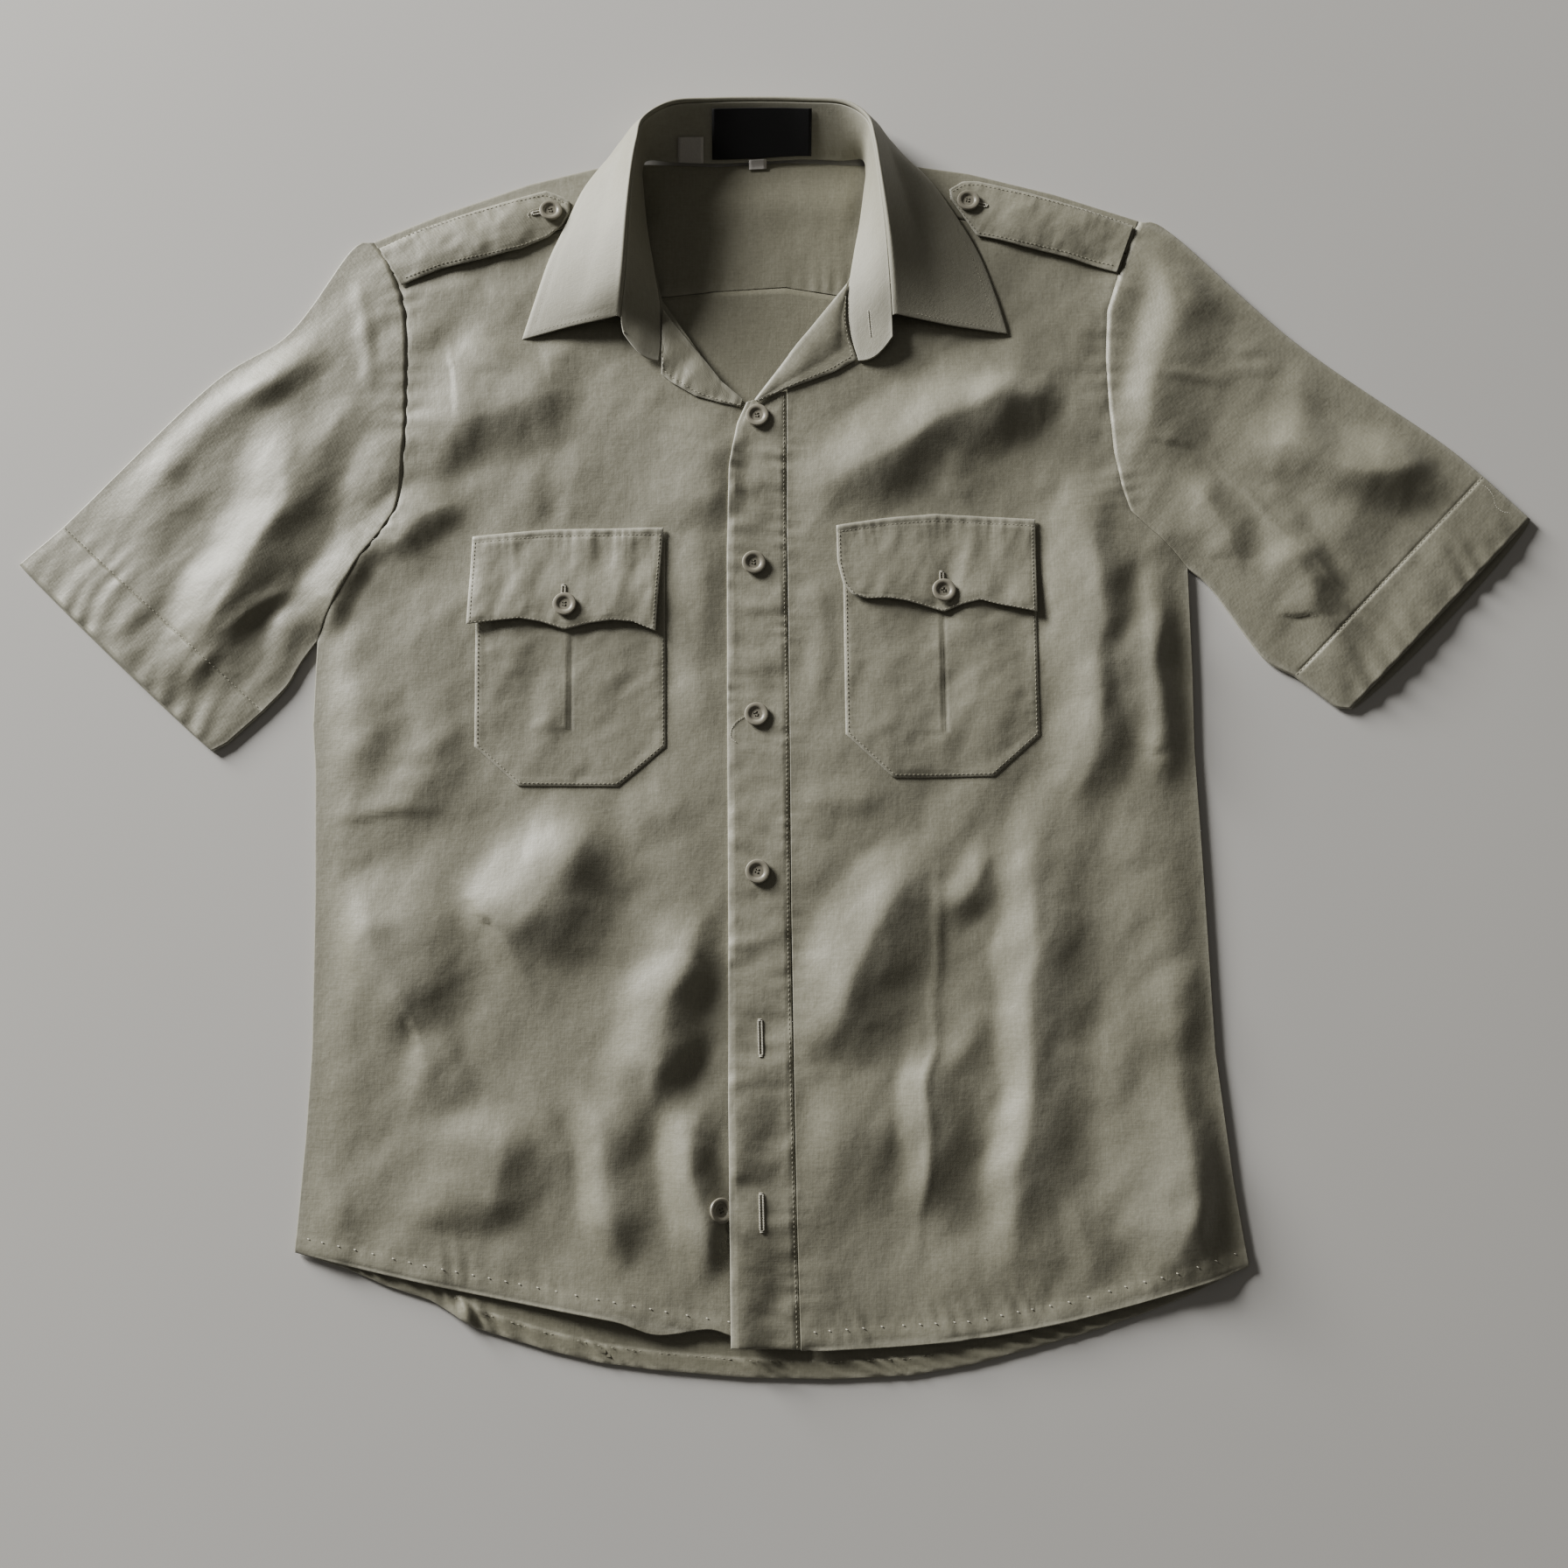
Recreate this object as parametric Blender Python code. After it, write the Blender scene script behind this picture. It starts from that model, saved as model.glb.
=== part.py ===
"""A short-sleeve button-up shirt with shoulder straps and two flap pockets, laid flat.

The shirt lies on its back with the collar open. The back panel rests on the surface at
z = 0, the fronts lie on it, and the collar stands up round the neck. X runs across the
shirt towards the wearer's left sleeve, Y from the hem to the collar, and Z up. Right and
left are the wearer's. The tables are in millimetres and the meshes are made in metres.
"""

import math
from collections import namedtuple

import bmesh
import bpy
from mathutils import Vector
from mathutils.bvhtree import BVHTree

# Cloth and clearances, in millimetres
MM = 0.001
FRAME = Vector((0.5, -5.4, 0))
CLOTH = 1.2
STIFF_CLOTH = 1.6
GAP = 0.3
SEAM_GAP = 0.35
SHOULDER_FOLD = 1.5
BACK_TOP = CLOTH
FRONT_FLOOR = CLOTH + GAP
LAYER = CLOTH + GAP
LOFT = 1.4
EDGE_REACH = 28.0
SEAM_SHIFT_RIGHT = (-0.5, 0.0)
SEAM_SHIFT_LEFT = (0.45, 0.25)
RESTING_GAP = 0.34
COLUMNS = 15

# The closure, the pockets, the flaps and the straps
PLACKET_LIFT = 3.4
PLACKET_LIFT_START = -195.0
PLACKET_LIFT_REACH = 60.0
PLACKET_WIDTH = 36.0
LEFT_STEP_START = 15.0
LEFT_STEP_REACH = 110.0
FACING_LIFT = 0.7
FACING_ROLL = 1.6
FACING_COLUMNS = 4
POCKET_CLOTH = 1.0
PLEAT_HALF_WIDTH = 1.0
PLEAT_DEPTH = 0.6
FLAP_SPRING = 2.6
FLAP_HEIGHT = 60.0
STRAP_CLOTH = 1.4
STRAP_BOW = 2.2
STRAP_CLEARANCE = 0.5

# Buttons and labels
BUTTON_RADIUS = 7.5
BUTTON_SIDES = 16
LABEL_CLOTH = 0.6
LABEL_CLEARANCE = 0.6
TAB_FLOOR = CLOTH + GAP + 0.6

# Stand and leaf of the collar
STAND_TOP_CUT = 5.3
STAND_ROWS = 4
LEAF_ROLL = 4.6
LEAF_ROLL_STEPS = (0.0, 0.25, 0.5, 0.75, 1.0)
LEAF_FALL_STEPS = (0.35, 0.7, 1.0)
TAB_BULGE = 5.0

# Colours, linear
KHAKI = (0.33, 0.325, 0.26)
BUTTON_COLOUR = (0.30, 0.28, 0.22)
LABEL_BLACK = (0.008, 0.008, 0.009)
TAB_WHITE = (0.55, 0.53, 0.50)

Row = namedtuple("Row", "side_x side_y centre_x centre_y sag strips")
Fold = namedtuple("Fold", "path half_width height")
YokeStation = namedtuple("YokeStation", "back mid_back shoulder mid_front front")
Station = namedtuple("Station", "seam crest knee edge")
Strap = namedtuple("Strap", "name ends")
Button = namedtuple("Button", "name x y carrier")

# Armholes, from the shoulder down to the armpit
ARMHOLE_RIGHT = (
    (-265, 311), (-256, 300), (-245, 274), (-241, 257), (-239, 232), (-238, 185),
    (-239, 143), (-242, 125), (-251, 110), (-262, 95), (-283, 55), (-288, 41),
)
ARMHOLE_LEFT = (
    (237, 326), (223, 290), (214, 262), (212, 229), (213, 193), (215, 164),
    (219, 141), (224, 125), (232, 117), (241, 108.5), (251, 98), (259, 88),
)

# Edges of the sleeves: along the top fold, along the underside, and the two cuff corners
SLEEVE_TOP_RIGHT = ((-265, 311), (-280, 305), (-317, 247), (-366, 211), (-453, 115), (-479, 90))
SLEEVE_UNDER_RIGHT = ((-288, 41), (-298, 26), (-306, 11), (-320, -5), (-341, -25), (-350, -30))
SLEEVE_TOP_LEFT = ((237, 326), (259, 317), (335, 241), (421, 175), (450, 149), (478, 120))
SLEEVE_UNDER_LEFT = ((259, 88), (273, 75), (295, 42), (307, 27), (323, 18), (348, -2), (357, -3))

# Sides of the body below the armpits, and the shoulder folds
SIDE_RIGHT = ((-288, 41), (-288, -14), (-285, -42), (-281, -120), (-278, -213), (-279, -264), (-282, -330))
SIDE_LEFT = ((259, 88), (259, 20), (258, -29), (260, -107), (262, -213), (269, -289), (275.5, -338))
SHOULDER_RIGHT = ((-91, 368), (-120, 364), (-165, 352), (-223, 330), (-265, 311))
SHOULDER_LEFT = ((58, 367), (93, 365), (126, 360), (182, 345), (237, 326))
FOLDED_EDGES = (
    SHOULDER_RIGHT, SLEEVE_TOP_RIGHT, SLEEVE_UNDER_RIGHT, SIDE_RIGHT,
    SHOULDER_LEFT, SLEEVE_TOP_LEFT, SLEEVE_UNDER_LEFT, SIDE_LEFT,
)

# Curved hem of the back, from the right side seam to the left one
BACK_HEM = (
    (-282, -330), (-252, -339), (-228, -349), (-202, -357), (-174, -373), (-133, -385),
    (-102, -392), (-70, -396), (-20, -400), (30, -401), (77, -399), (112, -393),
    (139, -386), (184, -374), (211, -365), (238, -355), (275.5, -338),
)

# Rows across each front, from the yoke seam down to the hem
FRONT_RIGHT_ROWS = (
    Row(-251, 288, -91, 334, 0, 1),
    Row(-245, 274, -87, 317, 0, 1),
    Row(-241, 257, -82, 295, 0, 1),
    Row(-239, 232, -75, 268, 0, 1),
    Row(-238.5, 208.5, -60, 246, 0, 1),
    Row(-238, 185, -45, 224, 0, 1),
    Row(-238.5, 164, -32, 206, 0, 1),
    Row(-239, 143, -20, 198, 0, 1),
    Row(-242, 125, 5.3, 203, 0, 1),
    Row(-251, 110, 5.3, 176, 0, 1),
    Row(-262, 95, 5.3, 150, 0, 1),
    Row(-272.5, 75, 5.3, 123, 0, 1),
    Row(-283, 55, 5.3, 98, 0, 1),
    Row(-288, 41, 5.3, 75, 0, 3),
    Row(-288, -14, 6.7, -12, 0, 1),
    Row(-285, -42, 7.0, -45, 0, 4),
    Row(-281, -120, 7.5, -125, 0, 4),
    Row(-278, -213, 9.0, -225, 0, 3),
    Row(-279, -264, 10.0, -290, 0, 4),
    Row(-282, -330, 13.0, -384, 4, 0),
)
FRONT_LEFT_ROWS = (
    Row(227.7, 302, 62, 340, 0, 1),
    Row(223, 290, 60, 325, 0, 1),
    Row(214, 262, 53, 297, 0, 1),
    Row(213, 245.5, 45, 280, 0, 1),
    Row(212, 229, 32, 262, 0, 1),
    Row(212.5, 211, 18, 244, 0, 1),
    Row(213, 193, 7, 230, 0, 1),
    Row(215, 164, 6.0, 207, 0, 1),
    Row(219, 141, 6.0, 188, 0, 1),
    Row(224, 125, 6.0, 170, 0, 1),
    Row(232, 117, 6.0, 157, 0, 1),
    Row(241, 108.5, 6.0, 144, 0, 1),
    Row(251, 98, 6.0, 128, 0, 1),
    Row(259, 88, 6.0, 112, 0, 3),
    Row(259, 20, 7.2, 20, 0, 3),
    Row(258, -29, 7.8, -40, 0, 4),
    Row(260, -107, 8.5, -125, 0, 4),
    Row(262, -213, 10.0, -225, 0, 4),
    Row(269, -289, 11.7, -310, 0, 3),
    Row(275.5, -338, 13.7, -384.5, 12, 0),
)

# The yoke: back seam, shoulder fold and front seam. A station without a front is at the neck
YOKE_STATIONS = (
    YokeStation((-245, 274), (-256, 300), (-265, 311), (-256, 300), (-251, 288)),
    YokeStation((-200, 275), (-212, 303), (-223, 330), (-214, 315), (-205, 301.3)),
    YokeStation((-150, 277), (-157, 315), (-165, 352), (-157, 334), (-150, 317.2)),
    YokeStation((-110, 277), (-115, 321), (-120, 364), (-116, 345), (-112, 328)),
    YokeStation((-75, 273), (-84, 321), (-91, 368), (-91, 350), (-91, 334)),
    YokeStation((-40, 277), (-40, 322), (-40, 366), None, None),
    YokeStation((5, 280), (5, 325), (5, 369), None, None),
    YokeStation((40, 274), (50, 320), (58, 367), (60, 353), (62, 340)),
    YokeStation((75, 275), (84, 320), (93, 365), (92, 349), (90, 333.6)),
    YokeStation((120, 275), (123, 318), (126, 360), (123, 343), (120, 326.7)),
    YokeStation((165, 275), (173, 310), (182, 345), (176, 330), (170, 315.2)),
    YokeStation((217.8, 274), (223, 290), (237, 326), (232, 313.2), (227.7, 302)),
)
NECK_STATIONS = (4, 7)

# The collar from the tip at the right front round the neck to the tip at the left front.
# Each station has the neck seam, the crest where the leaf turns over, the leaf's knee and its edge
COLLAR = (
    Station((-76, 240, 6.2), (-103, 253, 15.5), (-134, 248, 10.5), (-165, 241, 5.8)),
    Station((-77, 264, 5.8), (-100.5, 272, 24), (-128, 267, 13.5), (-157.5, 268, 5.8)),
    Station((-81, 289, 5.6), (-98.5, 293, 29), (-121, 292, 17), (-149, 297, 5.8)),
    Station((-86, 318, 5.4), (-96.5, 320, 33.5), (-114, 320, 19), (-138.5, 322, 5.8)),
    Station((-89, 345, 5.2), (-94, 347, 35), (-107, 347, 19), (-127.5, 347, 6.4)),
    Station((-90, 362, 4.8), (-91, 367, 34.5), (-101, 370, 18), (-112, 369, 6.4)),
    Station((-86, 369.5, 4.0), (-87, 383, 32.5), (-95, 388, 14), (-99, 386, 3.4)),
    Station((-70, 369, 2.6), (-69, 398, 27), (-73, 404, 10), (-70, 388, 1.1)),
    Station((-42, 368, 2.4), (-42, 402.5, 23), (-42, 409, 8), (-42, 384, 1.0)),
    Station((-15, 369, 2.4), (-15, 404, 21.5), (-15, 411, 7), (-15, 384, 1.0)),
    Station((15, 371, 2.4), (15, 403.5, 21.5), (15, 410.5, 7), (15, 385, 1.0)),
    Station((41, 370, 2.6), (43, 399.5, 25), (46, 406, 10), (43, 388, 1.2)),
    Station((56, 370, 4.0), (58, 386, 30), (65, 391, 13), (68, 388, 3.2)),
    Station((58.5, 360, 5.4), (62.5, 368, 33.5), (72, 371, 18), (84, 370, 6.4)),
    Station((57, 345, 6.4), (65.5, 347, 34.5), (78, 349, 19), (101, 351, 7.2)),
    Station((54, 322, 7.0), (69, 322, 33), (86, 323, 19), (119, 323, 6.8)),
    Station((50, 300, 7.4), (72, 300, 29), (95, 299, 17), (132, 298, 6.6)),
    Station((46, 272, 7.8), (74.5, 275, 22.5), (103, 272, 13.5), (142, 269, 6.2)),
    Station((47, 246, 8.0), (76, 254, 16), (111, 248.5, 11), (148.5, 245, 6.0)),
)
STAND_END_RIGHT = Station((-77, 226, 6.6), (-101.5, 244, 13.5), None, None)
STAND_END_LEFT = Station((52, 225, 8.6), (76, 241, 14.5), None, None)

# The largest folds of the fronts and the sleeves
FOLDS = (
    Fold(((-62, -40), (-106, -103), (-152, -143), (-176, -160)), 34, 5.0),
    Fold(((-39, -113), (-60, -143), (-65, -187), (-72, -228), (-76, -270)), 24, 4.6),
    Fold(((-38, -225), (-49, -260), (-46, -304), (-44, -349), (-45, -378)), 16, 4.4),
    Fold(((-116, -228), (-105, -259), (-97, -294), (-90, -334), (-83, -366)), 26, 4.4),
    Fold(((-258, -105), (-240, -165), (-222, -208), (-205, -235)), 26, 3.0),
    Fold(((-162, -246), (-161, -284), (-168, -325)), 24, 2.6),
    Fold(((-245, 104), (-221, 115), (-204, 127)), 16, 3.2),
    Fold(((9, 130), (51, 159), (104, 183), (156, 216), (170, 234)), 30, 4.4),
    Fold(((201, 156), (193, 104), (190, 63), (199, 24), (176, -37), (161, -86), (150, -213), (142, -294)),
         22, 5.0),
    Fold(((235, 86), (241, 46), (222, -26), (213, -86)), 20, 4.0),
    Fold(((81, -108), (54, -151), (40, -187), (29, -228)), 22, 3.4),
    Fold(((139, -95), (112, -119), (93, -135)), 18, 2.6),
    Fold(((95, -170), (91, -284), (90, -370)), 20, 2.8),
    Fold(((215, -200), (228, -270), (236, -335)), 26, 2.6),
    Fold(((-330, 190), (-360, 110), (-385, 60)), 30, 3.6),
    Fold(((-262, 150), (-290, 96), (-315, 48)), 20, 3.6),
    Fold(((262, 190), (330, 168), (420, 150)), 26, 3.6),
    Fold(((255, 120), (300, 100), (350, 60)), 22, 3.0),
)

# Pieces cut to an outline and laid on a front
PLACKET_OUTLINE = (
    (-20, 198), (-26, 184), (-31, 154), (-32, 98), (-31, -21), (-29.5, -150),
    (-29, -237), (-27.5, -320), (-26.5, -395), (30, -395), (30, 215),
)
POCKET_RIGHT = ((-190, 104), (-187, -28), (-159, -53), (-98, -53), (-69, -28), (-71, 104))
POCKET_LEFT = ((41, 105), (42, -21), (71, -48), (133, -47), (162, -21), (162, 105))
PLEAT_RIGHT = (-129.5, 40, -18)
PLEAT_LEFT = (103, 52, -20)
FLAP_RIGHT = (
    (-193, 108), (-143, 112.5), (-72, 113), (-76, 45), (-90, 51), (-103, 52),
    (-133, 46), (-161, 53), (-180, 51), (-194, 49),
)
FLAP_LEFT = (
    (37, 114), (100, 122), (163, 119), (162, 57), (138, 62), (127, 65),
    (104, 57.5), (80, 64), (60, 66), (47, 68), (41, 75), (37.5, 90),
)
FACING_RIGHT_OUTLINE = (
    (-74.5, 262), (-75, 217), (-68, 211), (-53, 202), (-37, 197.5), (-24, 195), (-22.5, 200), (-36, 212),
)
# Rows across the left facing, from its roll to its outer edge
FACING_LEFT_ROWS = (
    ((45, 279), (44, 268)),
    ((38, 270), (44, 252)),
    ((29, 258), (47, 238)),
    ((20, 246), (51, 226)),
    ((12, 236), (36, 217)),
    ((5, 226), (18, 210)),
    ((-3, 215), (6, 205.5)),
    ((-15, 198.5), (-13, 197)),
)

# Shoulder straps, each station with its end at the shoulder fold and its end on the chest
STRAPS = (
    Strap("strap_right", (
        ((-261, 306), (-245, 279)), ((-235, 319), (-220, 290)), ((-205, 330), (-192, 297)),
        ((-175, 340), (-168, 304)), ((-153, 347), (-150, 313)), ((-143, 343), (-141, 322)),
        ((-137, 339), (-137, 331)),
    )),
    Strap("strap_left", (
        ((233.5, 322), (221, 288)), ((200, 334), (190, 298)), ((165, 345), (157, 306.5)),
        ((132, 354), (130, 314)), ((122, 354), (122, 327)), ((113, 348), (113.5, 341)),
    )),
)

BUTTONS = (
    Button("button_placket_1", -13, 188, "placket"),
    Button("button_placket_2", -15, 90, "placket"),
    Button("button_placket_3", -13, -8, "placket"),
    Button("button_placket_4", -12, -106, "placket"),
    Button("button_undone", -33, -306, "front_right"),
    Button("button_flap_right", -133, 62, "flap_right"),
    Button("button_flap_left", 104, 71, "flap_left"),
    Button("button_strap_right", -149, 331, "strap_right"),
    Button("button_strap_left", 125, 338, "strap_left"),
)
# Half of a button's outline: distance from its axis and height above its underside
BUTTON_PROFILE = ((0, 1.1), (3.4, 1.1), (4.4, 2.1), (6.2, 2.5), (7.5, 1.6), (7.0, 0.3), (5.6, 0), (0, 0))

# Label and tabs inside the stand: station range along the collar and share of the stand's height
LABELS = (
    ("neck_label", 7.95, 10.25, 0.10, 0.86, 8, 3, LABEL_BLACK),
    ("care_tab", 7.15, 7.75, -0.02, 0.42, 3, 2, TAB_WHITE),
    ("size_tab", 8.85, 9.25, -0.14, 0.04, 2, 1, TAB_WHITE),
)


def smooth(t):
    """Eased 0 to 1, flat at both ends."""
    t = min(max(t, 0.0), 1.0)
    return t * t * (3 - 2 * t)


def mix(a, b, t):
    return Vector(a) * (1 - t) + Vector(b) * t


def along(path, t):
    """The point at share t of a path's length."""
    points = [Vector(p) for p in path]
    lengths = [(b - a).length for a, b in zip(points, points[1:])]
    left = t * sum(lengths)
    for start, end, length in zip(points, points[1:], lengths):
        if left <= length:
            return start.lerp(end, left / length)
        left -= length
    return points[-1]


def nearest(path, x, y):
    """How far a point is from a path, and how far along the path it is, from 0 to 1."""
    best_distance, best_share = math.inf, 0.0
    for i, ((ax, ay), (bx, by)) in enumerate(zip(path, path[1:])):
        dx, dy = bx - ax, by - ay
        t = ((x - ax) * dx + (y - ay) * dy) / (dx * dx + dy * dy)
        t = min(max(t, 0.0), 1.0)
        distance = math.hypot(x - ax - t * dx, y - ay - t * dy)
        if distance < best_distance:
            best_distance, best_share = distance, (i + t) / (len(path) - 1)
    return best_distance, best_share


def edge_rise(x, y):
    """0 on a folded or sewn edge of the flat shirt, 1 well inside it."""
    return smooth(min(nearest(path, x, y)[0] for path in FOLDED_EDGES) / EDGE_REACH)


def fold_height(x, y):
    height = 0.0
    for fold in FOLDS:
        distance, share = nearest(fold.path, x, y)
        if distance < fold.half_width:
            across = (1 - (distance / fold.half_width) ** 2) ** 2
            ends = smooth(share / 0.25) * smooth((1 - share) / 0.2) if share > 0 else 0.0
            height += fold.height * across * (0.35 + 0.65 * ends)
    return height


def top_layer(x, y):
    """Underside of the cloth that lies on the back."""
    return FRONT_FLOOR + edge_rise(x, y) * (LOFT + fold_height(x, y))


def left_step(x):
    """The left front lies a layer higher where it nears the placket band."""
    return LAYER * (1 - smooth((x - LEFT_STEP_START) / LEFT_STEP_REACH)) if x > 0 else 0.0


def front_left_layer(x, y):
    return top_layer(x, y) + left_step(x)


def shirt_top(x, y):
    return front_left_layer(x, y) + CLOTH


def material(name, colour, roughness):
    made = bpy.data.materials.new(name)
    made.use_nodes = True
    shader = made.node_tree.nodes["Principled BSDF"]
    shader.inputs["Base Color"].default_value = (*colour, 1)
    shader.inputs["Roughness"].default_value = roughness
    shader.inputs["Metallic"].default_value = 0.0
    return made


def finish(name, bm, colour=KHAKI, roughness=0.85):
    """Turns a closed bmesh in millimetres into a named object in metres."""
    bmesh.ops.remove_doubles(bm, verts=bm.verts, dist=1e-4)
    bmesh.ops.dissolve_degenerate(bm, edges=bm.edges, dist=1e-4)
    bmesh.ops.triangulate(bm, faces=bm.faces)
    bmesh.ops.recalc_face_normals(bm, faces=bm.faces)
    bmesh.ops.scale(bm, verts=bm.verts, vec=(MM, MM, MM))
    mesh = bpy.data.meshes.new(name)
    bm.to_mesh(mesh)
    bm.free()
    mesh.shade_smooth()
    mesh.set_sharp_from_angle(angle=math.radians(40))
    mesh.materials.append(material(name, colour, roughness))
    obj = bpy.data.objects.new(name, mesh)
    obj.location = FRAME * MM
    bpy.context.scene.collection.objects.link(obj)
    return obj


def sheet(points, ring=False, skip=()):
    """An open sheet of triangles through a grid of points; skip leaves out (row, column) cells."""
    bm = bmesh.new()
    verts = [[bm.verts.new(p) for p in row] for row in points]
    columns = len(points[0])
    for r in range(len(points) - 1):
        for c in range(columns if ring else columns - 1):
            if (r, c) in skip:
                continue
            after = (c + 1) % columns
            bm.faces.new((verts[r][c], verts[r][after], verts[r + 1][after], verts[r + 1][c]))
    bmesh.ops.delete(bm, geom=[v for v in bm.verts if not v.link_faces], context="VERTS")
    bmesh.ops.triangulate(bm, faces=bm.faces)
    return bm


def wall(lower, upper, ring=False, skip=()):
    """A closed wall between two grids of points that match."""
    bm = sheet(lower, ring, skip)
    far = sheet(upper, ring, skip)
    bm.verts.index_update()
    far.verts.index_update()
    near = list(bm.verts)
    edge_pairs = [[v.index for v in e.verts] for e in bm.edges if e.is_boundary]
    copied = [bm.verts.new(v.co) for v in far.verts]
    for face in far.faces:
        bm.faces.new([copied[v.index] for v in face.verts])
    for a, b in edge_pairs:
        bm.faces.new((near[a], near[b], copied[b], copied[a]))
    far.free()
    return bm


def thicken(middle, thickness, ring=False):
    """Two grids, half the thickness below and above a grid of points."""
    rows, columns = len(middle), len(middle[0])
    below, above = [], []
    for r in range(rows):
        below.append([])
        above.append([])
        for c in range(columns):
            up, down = middle[max(r - 1, 0)][c], middle[min(r + 1, rows - 1)][c]
            if ring:
                left, right = middle[r][c - 1], middle[r][(c + 1) % columns]
            else:
                left, right = middle[r][max(c - 1, 0)], middle[r][min(c + 1, columns - 1)]
            normal = (right - left).cross(down - up).normalized() * thickness / 2
            below[-1].append(middle[r][c] - normal)
            above[-1].append(middle[r][c] + normal)
    return below, above


def front_grid(rows, layer):
    """Points of a front's underside, row by row from the yoke seam to the hem."""
    grid = []
    for row, following in zip(rows, rows[1:] + rows[-1:]):
        for step in range(max(row.strips, 1)):
            t = step / max(row.strips, 1)
            side = mix((row.side_x, row.side_y), (following.side_x, following.side_y), t)
            centre = mix((row.centre_x, row.centre_y), (following.centre_x, following.centre_y), t)
            sag = row.sag * (1 - t) + following.sag * t
            line = []
            for c in range(COLUMNS + 1):
                u = c / COLUMNS
                x, y = side.lerp(centre, u)
                y -= sag * 4 * u * (1 - u)
                line.append(Vector((x, y, layer(x, y))))
            grid.append(line)
    for point, below in zip(grid[0], grid[1]):
        point += (below - point).normalized() * SEAM_GAP
    return grid


def raised(grid, height):
    return [[p + Vector((0, 0, height)) for p in row] for row in grid]


def cut_from(mesh_top, outline, lift):
    """The part of a panel's top inside an outline, lifted by lift(x, y)."""
    bm = mesh_top.copy()
    ends = [Vector((*p, 0)) for p in outline]
    for start, end in zip(ends, ends[1:] + ends[:1]):
        across = Vector((end.y - start.y, start.x - end.x, 0)).normalized()
        middle, reach = (start + end) / 2, (end - start).length / 2
        crossed = [
            f for f in bm.faces
            if (f.calc_center_median().xy - middle.xy).length < reach + max(e.calc_length() for e in f.edges)
        ]
        parts = set(crossed)
        parts.update(e for f in crossed for e in f.edges)
        parts.update(v for f in crossed for v in f.verts)
        bmesh.ops.bisect_plane(bm, geom=list(parts), dist=1e-4, plane_co=start, plane_no=across)
    outside = [f for f in bm.faces if not inside(outline, f.calc_center_median())]
    bmesh.ops.delete(bm, geom=outside, context="FACES")
    bmesh.ops.triangulate(bm, faces=bm.faces)
    for v in bm.verts:
        v.co.z += lift(v.co.x, v.co.y)
    return bm


def inside(outline, point):
    found = False
    for (ax, ay), (bx, by) in zip(outline, outline[1:] + outline[:1]):
        if (ay > point.y) != (by > point.y):
            if point.x < (bx - ax) * (point.y - ay) / (by - ay) + ax:
                found = not found
    return found


def thick_patch(bm, thickness):
    """Closes an open sheet into a wall of the given height above it."""
    bmesh.ops.recalc_face_normals(bm, faces=bm.faces)
    made = bmesh.ops.duplicate(bm, geom=list(bm.faces))
    copy_of = made["vert_map"]
    top_faces = [g for g in made["geom"] if isinstance(g, bmesh.types.BMFace)]
    top_verts = {v for f in top_faces for v in f.verts}
    bottom_edges = [e for e in bm.edges if e.is_boundary and e.verts[0] not in top_verts]
    for v in top_verts:
        v.co.z += thickness(v.co.x, v.co.y)
    for edge in bottom_edges:
        a, b = edge.verts
        bm.faces.new((a, b, copy_of[b], copy_of[a]))
    return bm


def make_back():
    """A flat slab from the yoke seam to the curved hem."""
    outline = list(ARMHOLE_RIGHT[2:]) + list(SIDE_RIGHT[1:-1]) + list(BACK_HEM)
    outline += list(reversed(SIDE_LEFT[1:-1])) + list(reversed(ARMHOLE_LEFT[2:]))
    seam = [station.back for station in reversed(YOKE_STATIONS[1:-1])]
    outline += [YOKE_STATIONS[-1].back] + seam
    bm = bmesh.new()
    verts = [bm.verts.new((x * 0.9995, y - SEAM_GAP, 0) if y > 270 else (x, y, 0)) for x, y in outline]
    base = bm.faces.new(verts)
    made = bmesh.ops.extrude_face_region(bm, geom=[base])
    for item in made["geom"]:
        if isinstance(item, bmesh.types.BMVert):
            item.co.z = BACK_TOP
    finish("back", bm)


def make_yoke():
    """The yoke goes over the shoulder folds and leaves the neck open on top."""
    lower, upper = [], []
    turn = (FRONT_FLOOR + CLOTH) / 2
    for station in YOKE_STATIONS:
        back, mid, shoulder = (Vector(p) for p in station[:3])
        below = [Vector((*back, 0)), Vector((*mid, 0))]
        above = [Vector((*back, CLOTH)), Vector((*mid, CLOTH))]
        if station.front is None:
            below += [Vector((*shoulder, 0))] * 5
            above += [Vector((*shoulder, CLOTH))] * 5
        else:
            out = (shoulder - mid).normalized()
            near = shoulder - out * SHOULDER_FOLD
            below += [Vector((*near, 0)), Vector((*(shoulder + out * 0.5), turn))]
            above += [Vector((*near, CLOTH)), Vector((*(shoulder - out * 0.6), turn))]
            for x, y in (near, station.mid_front, station.front):
                z = top_layer(x, y)
                below.append(Vector((x, y, z + CLOTH)))
                above.append(Vector((x, y, z)))
        lower.append(below)
        upper.append(above)
    first, last = NECK_STATIONS
    skip = {(r, c) for r in range(first, last) for c in range(2, 6)}
    finish("yoke", wall(lower, upper, skip=skip))


def make_front(name, rows, layer):
    """A front panel; returns its top, which carries the pieces sewn on it."""
    grid = front_grid(rows, layer)
    finish(name, wall(grid, raised(grid, CLOTH)))
    return sheet(raised(grid, CLOTH))


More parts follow.
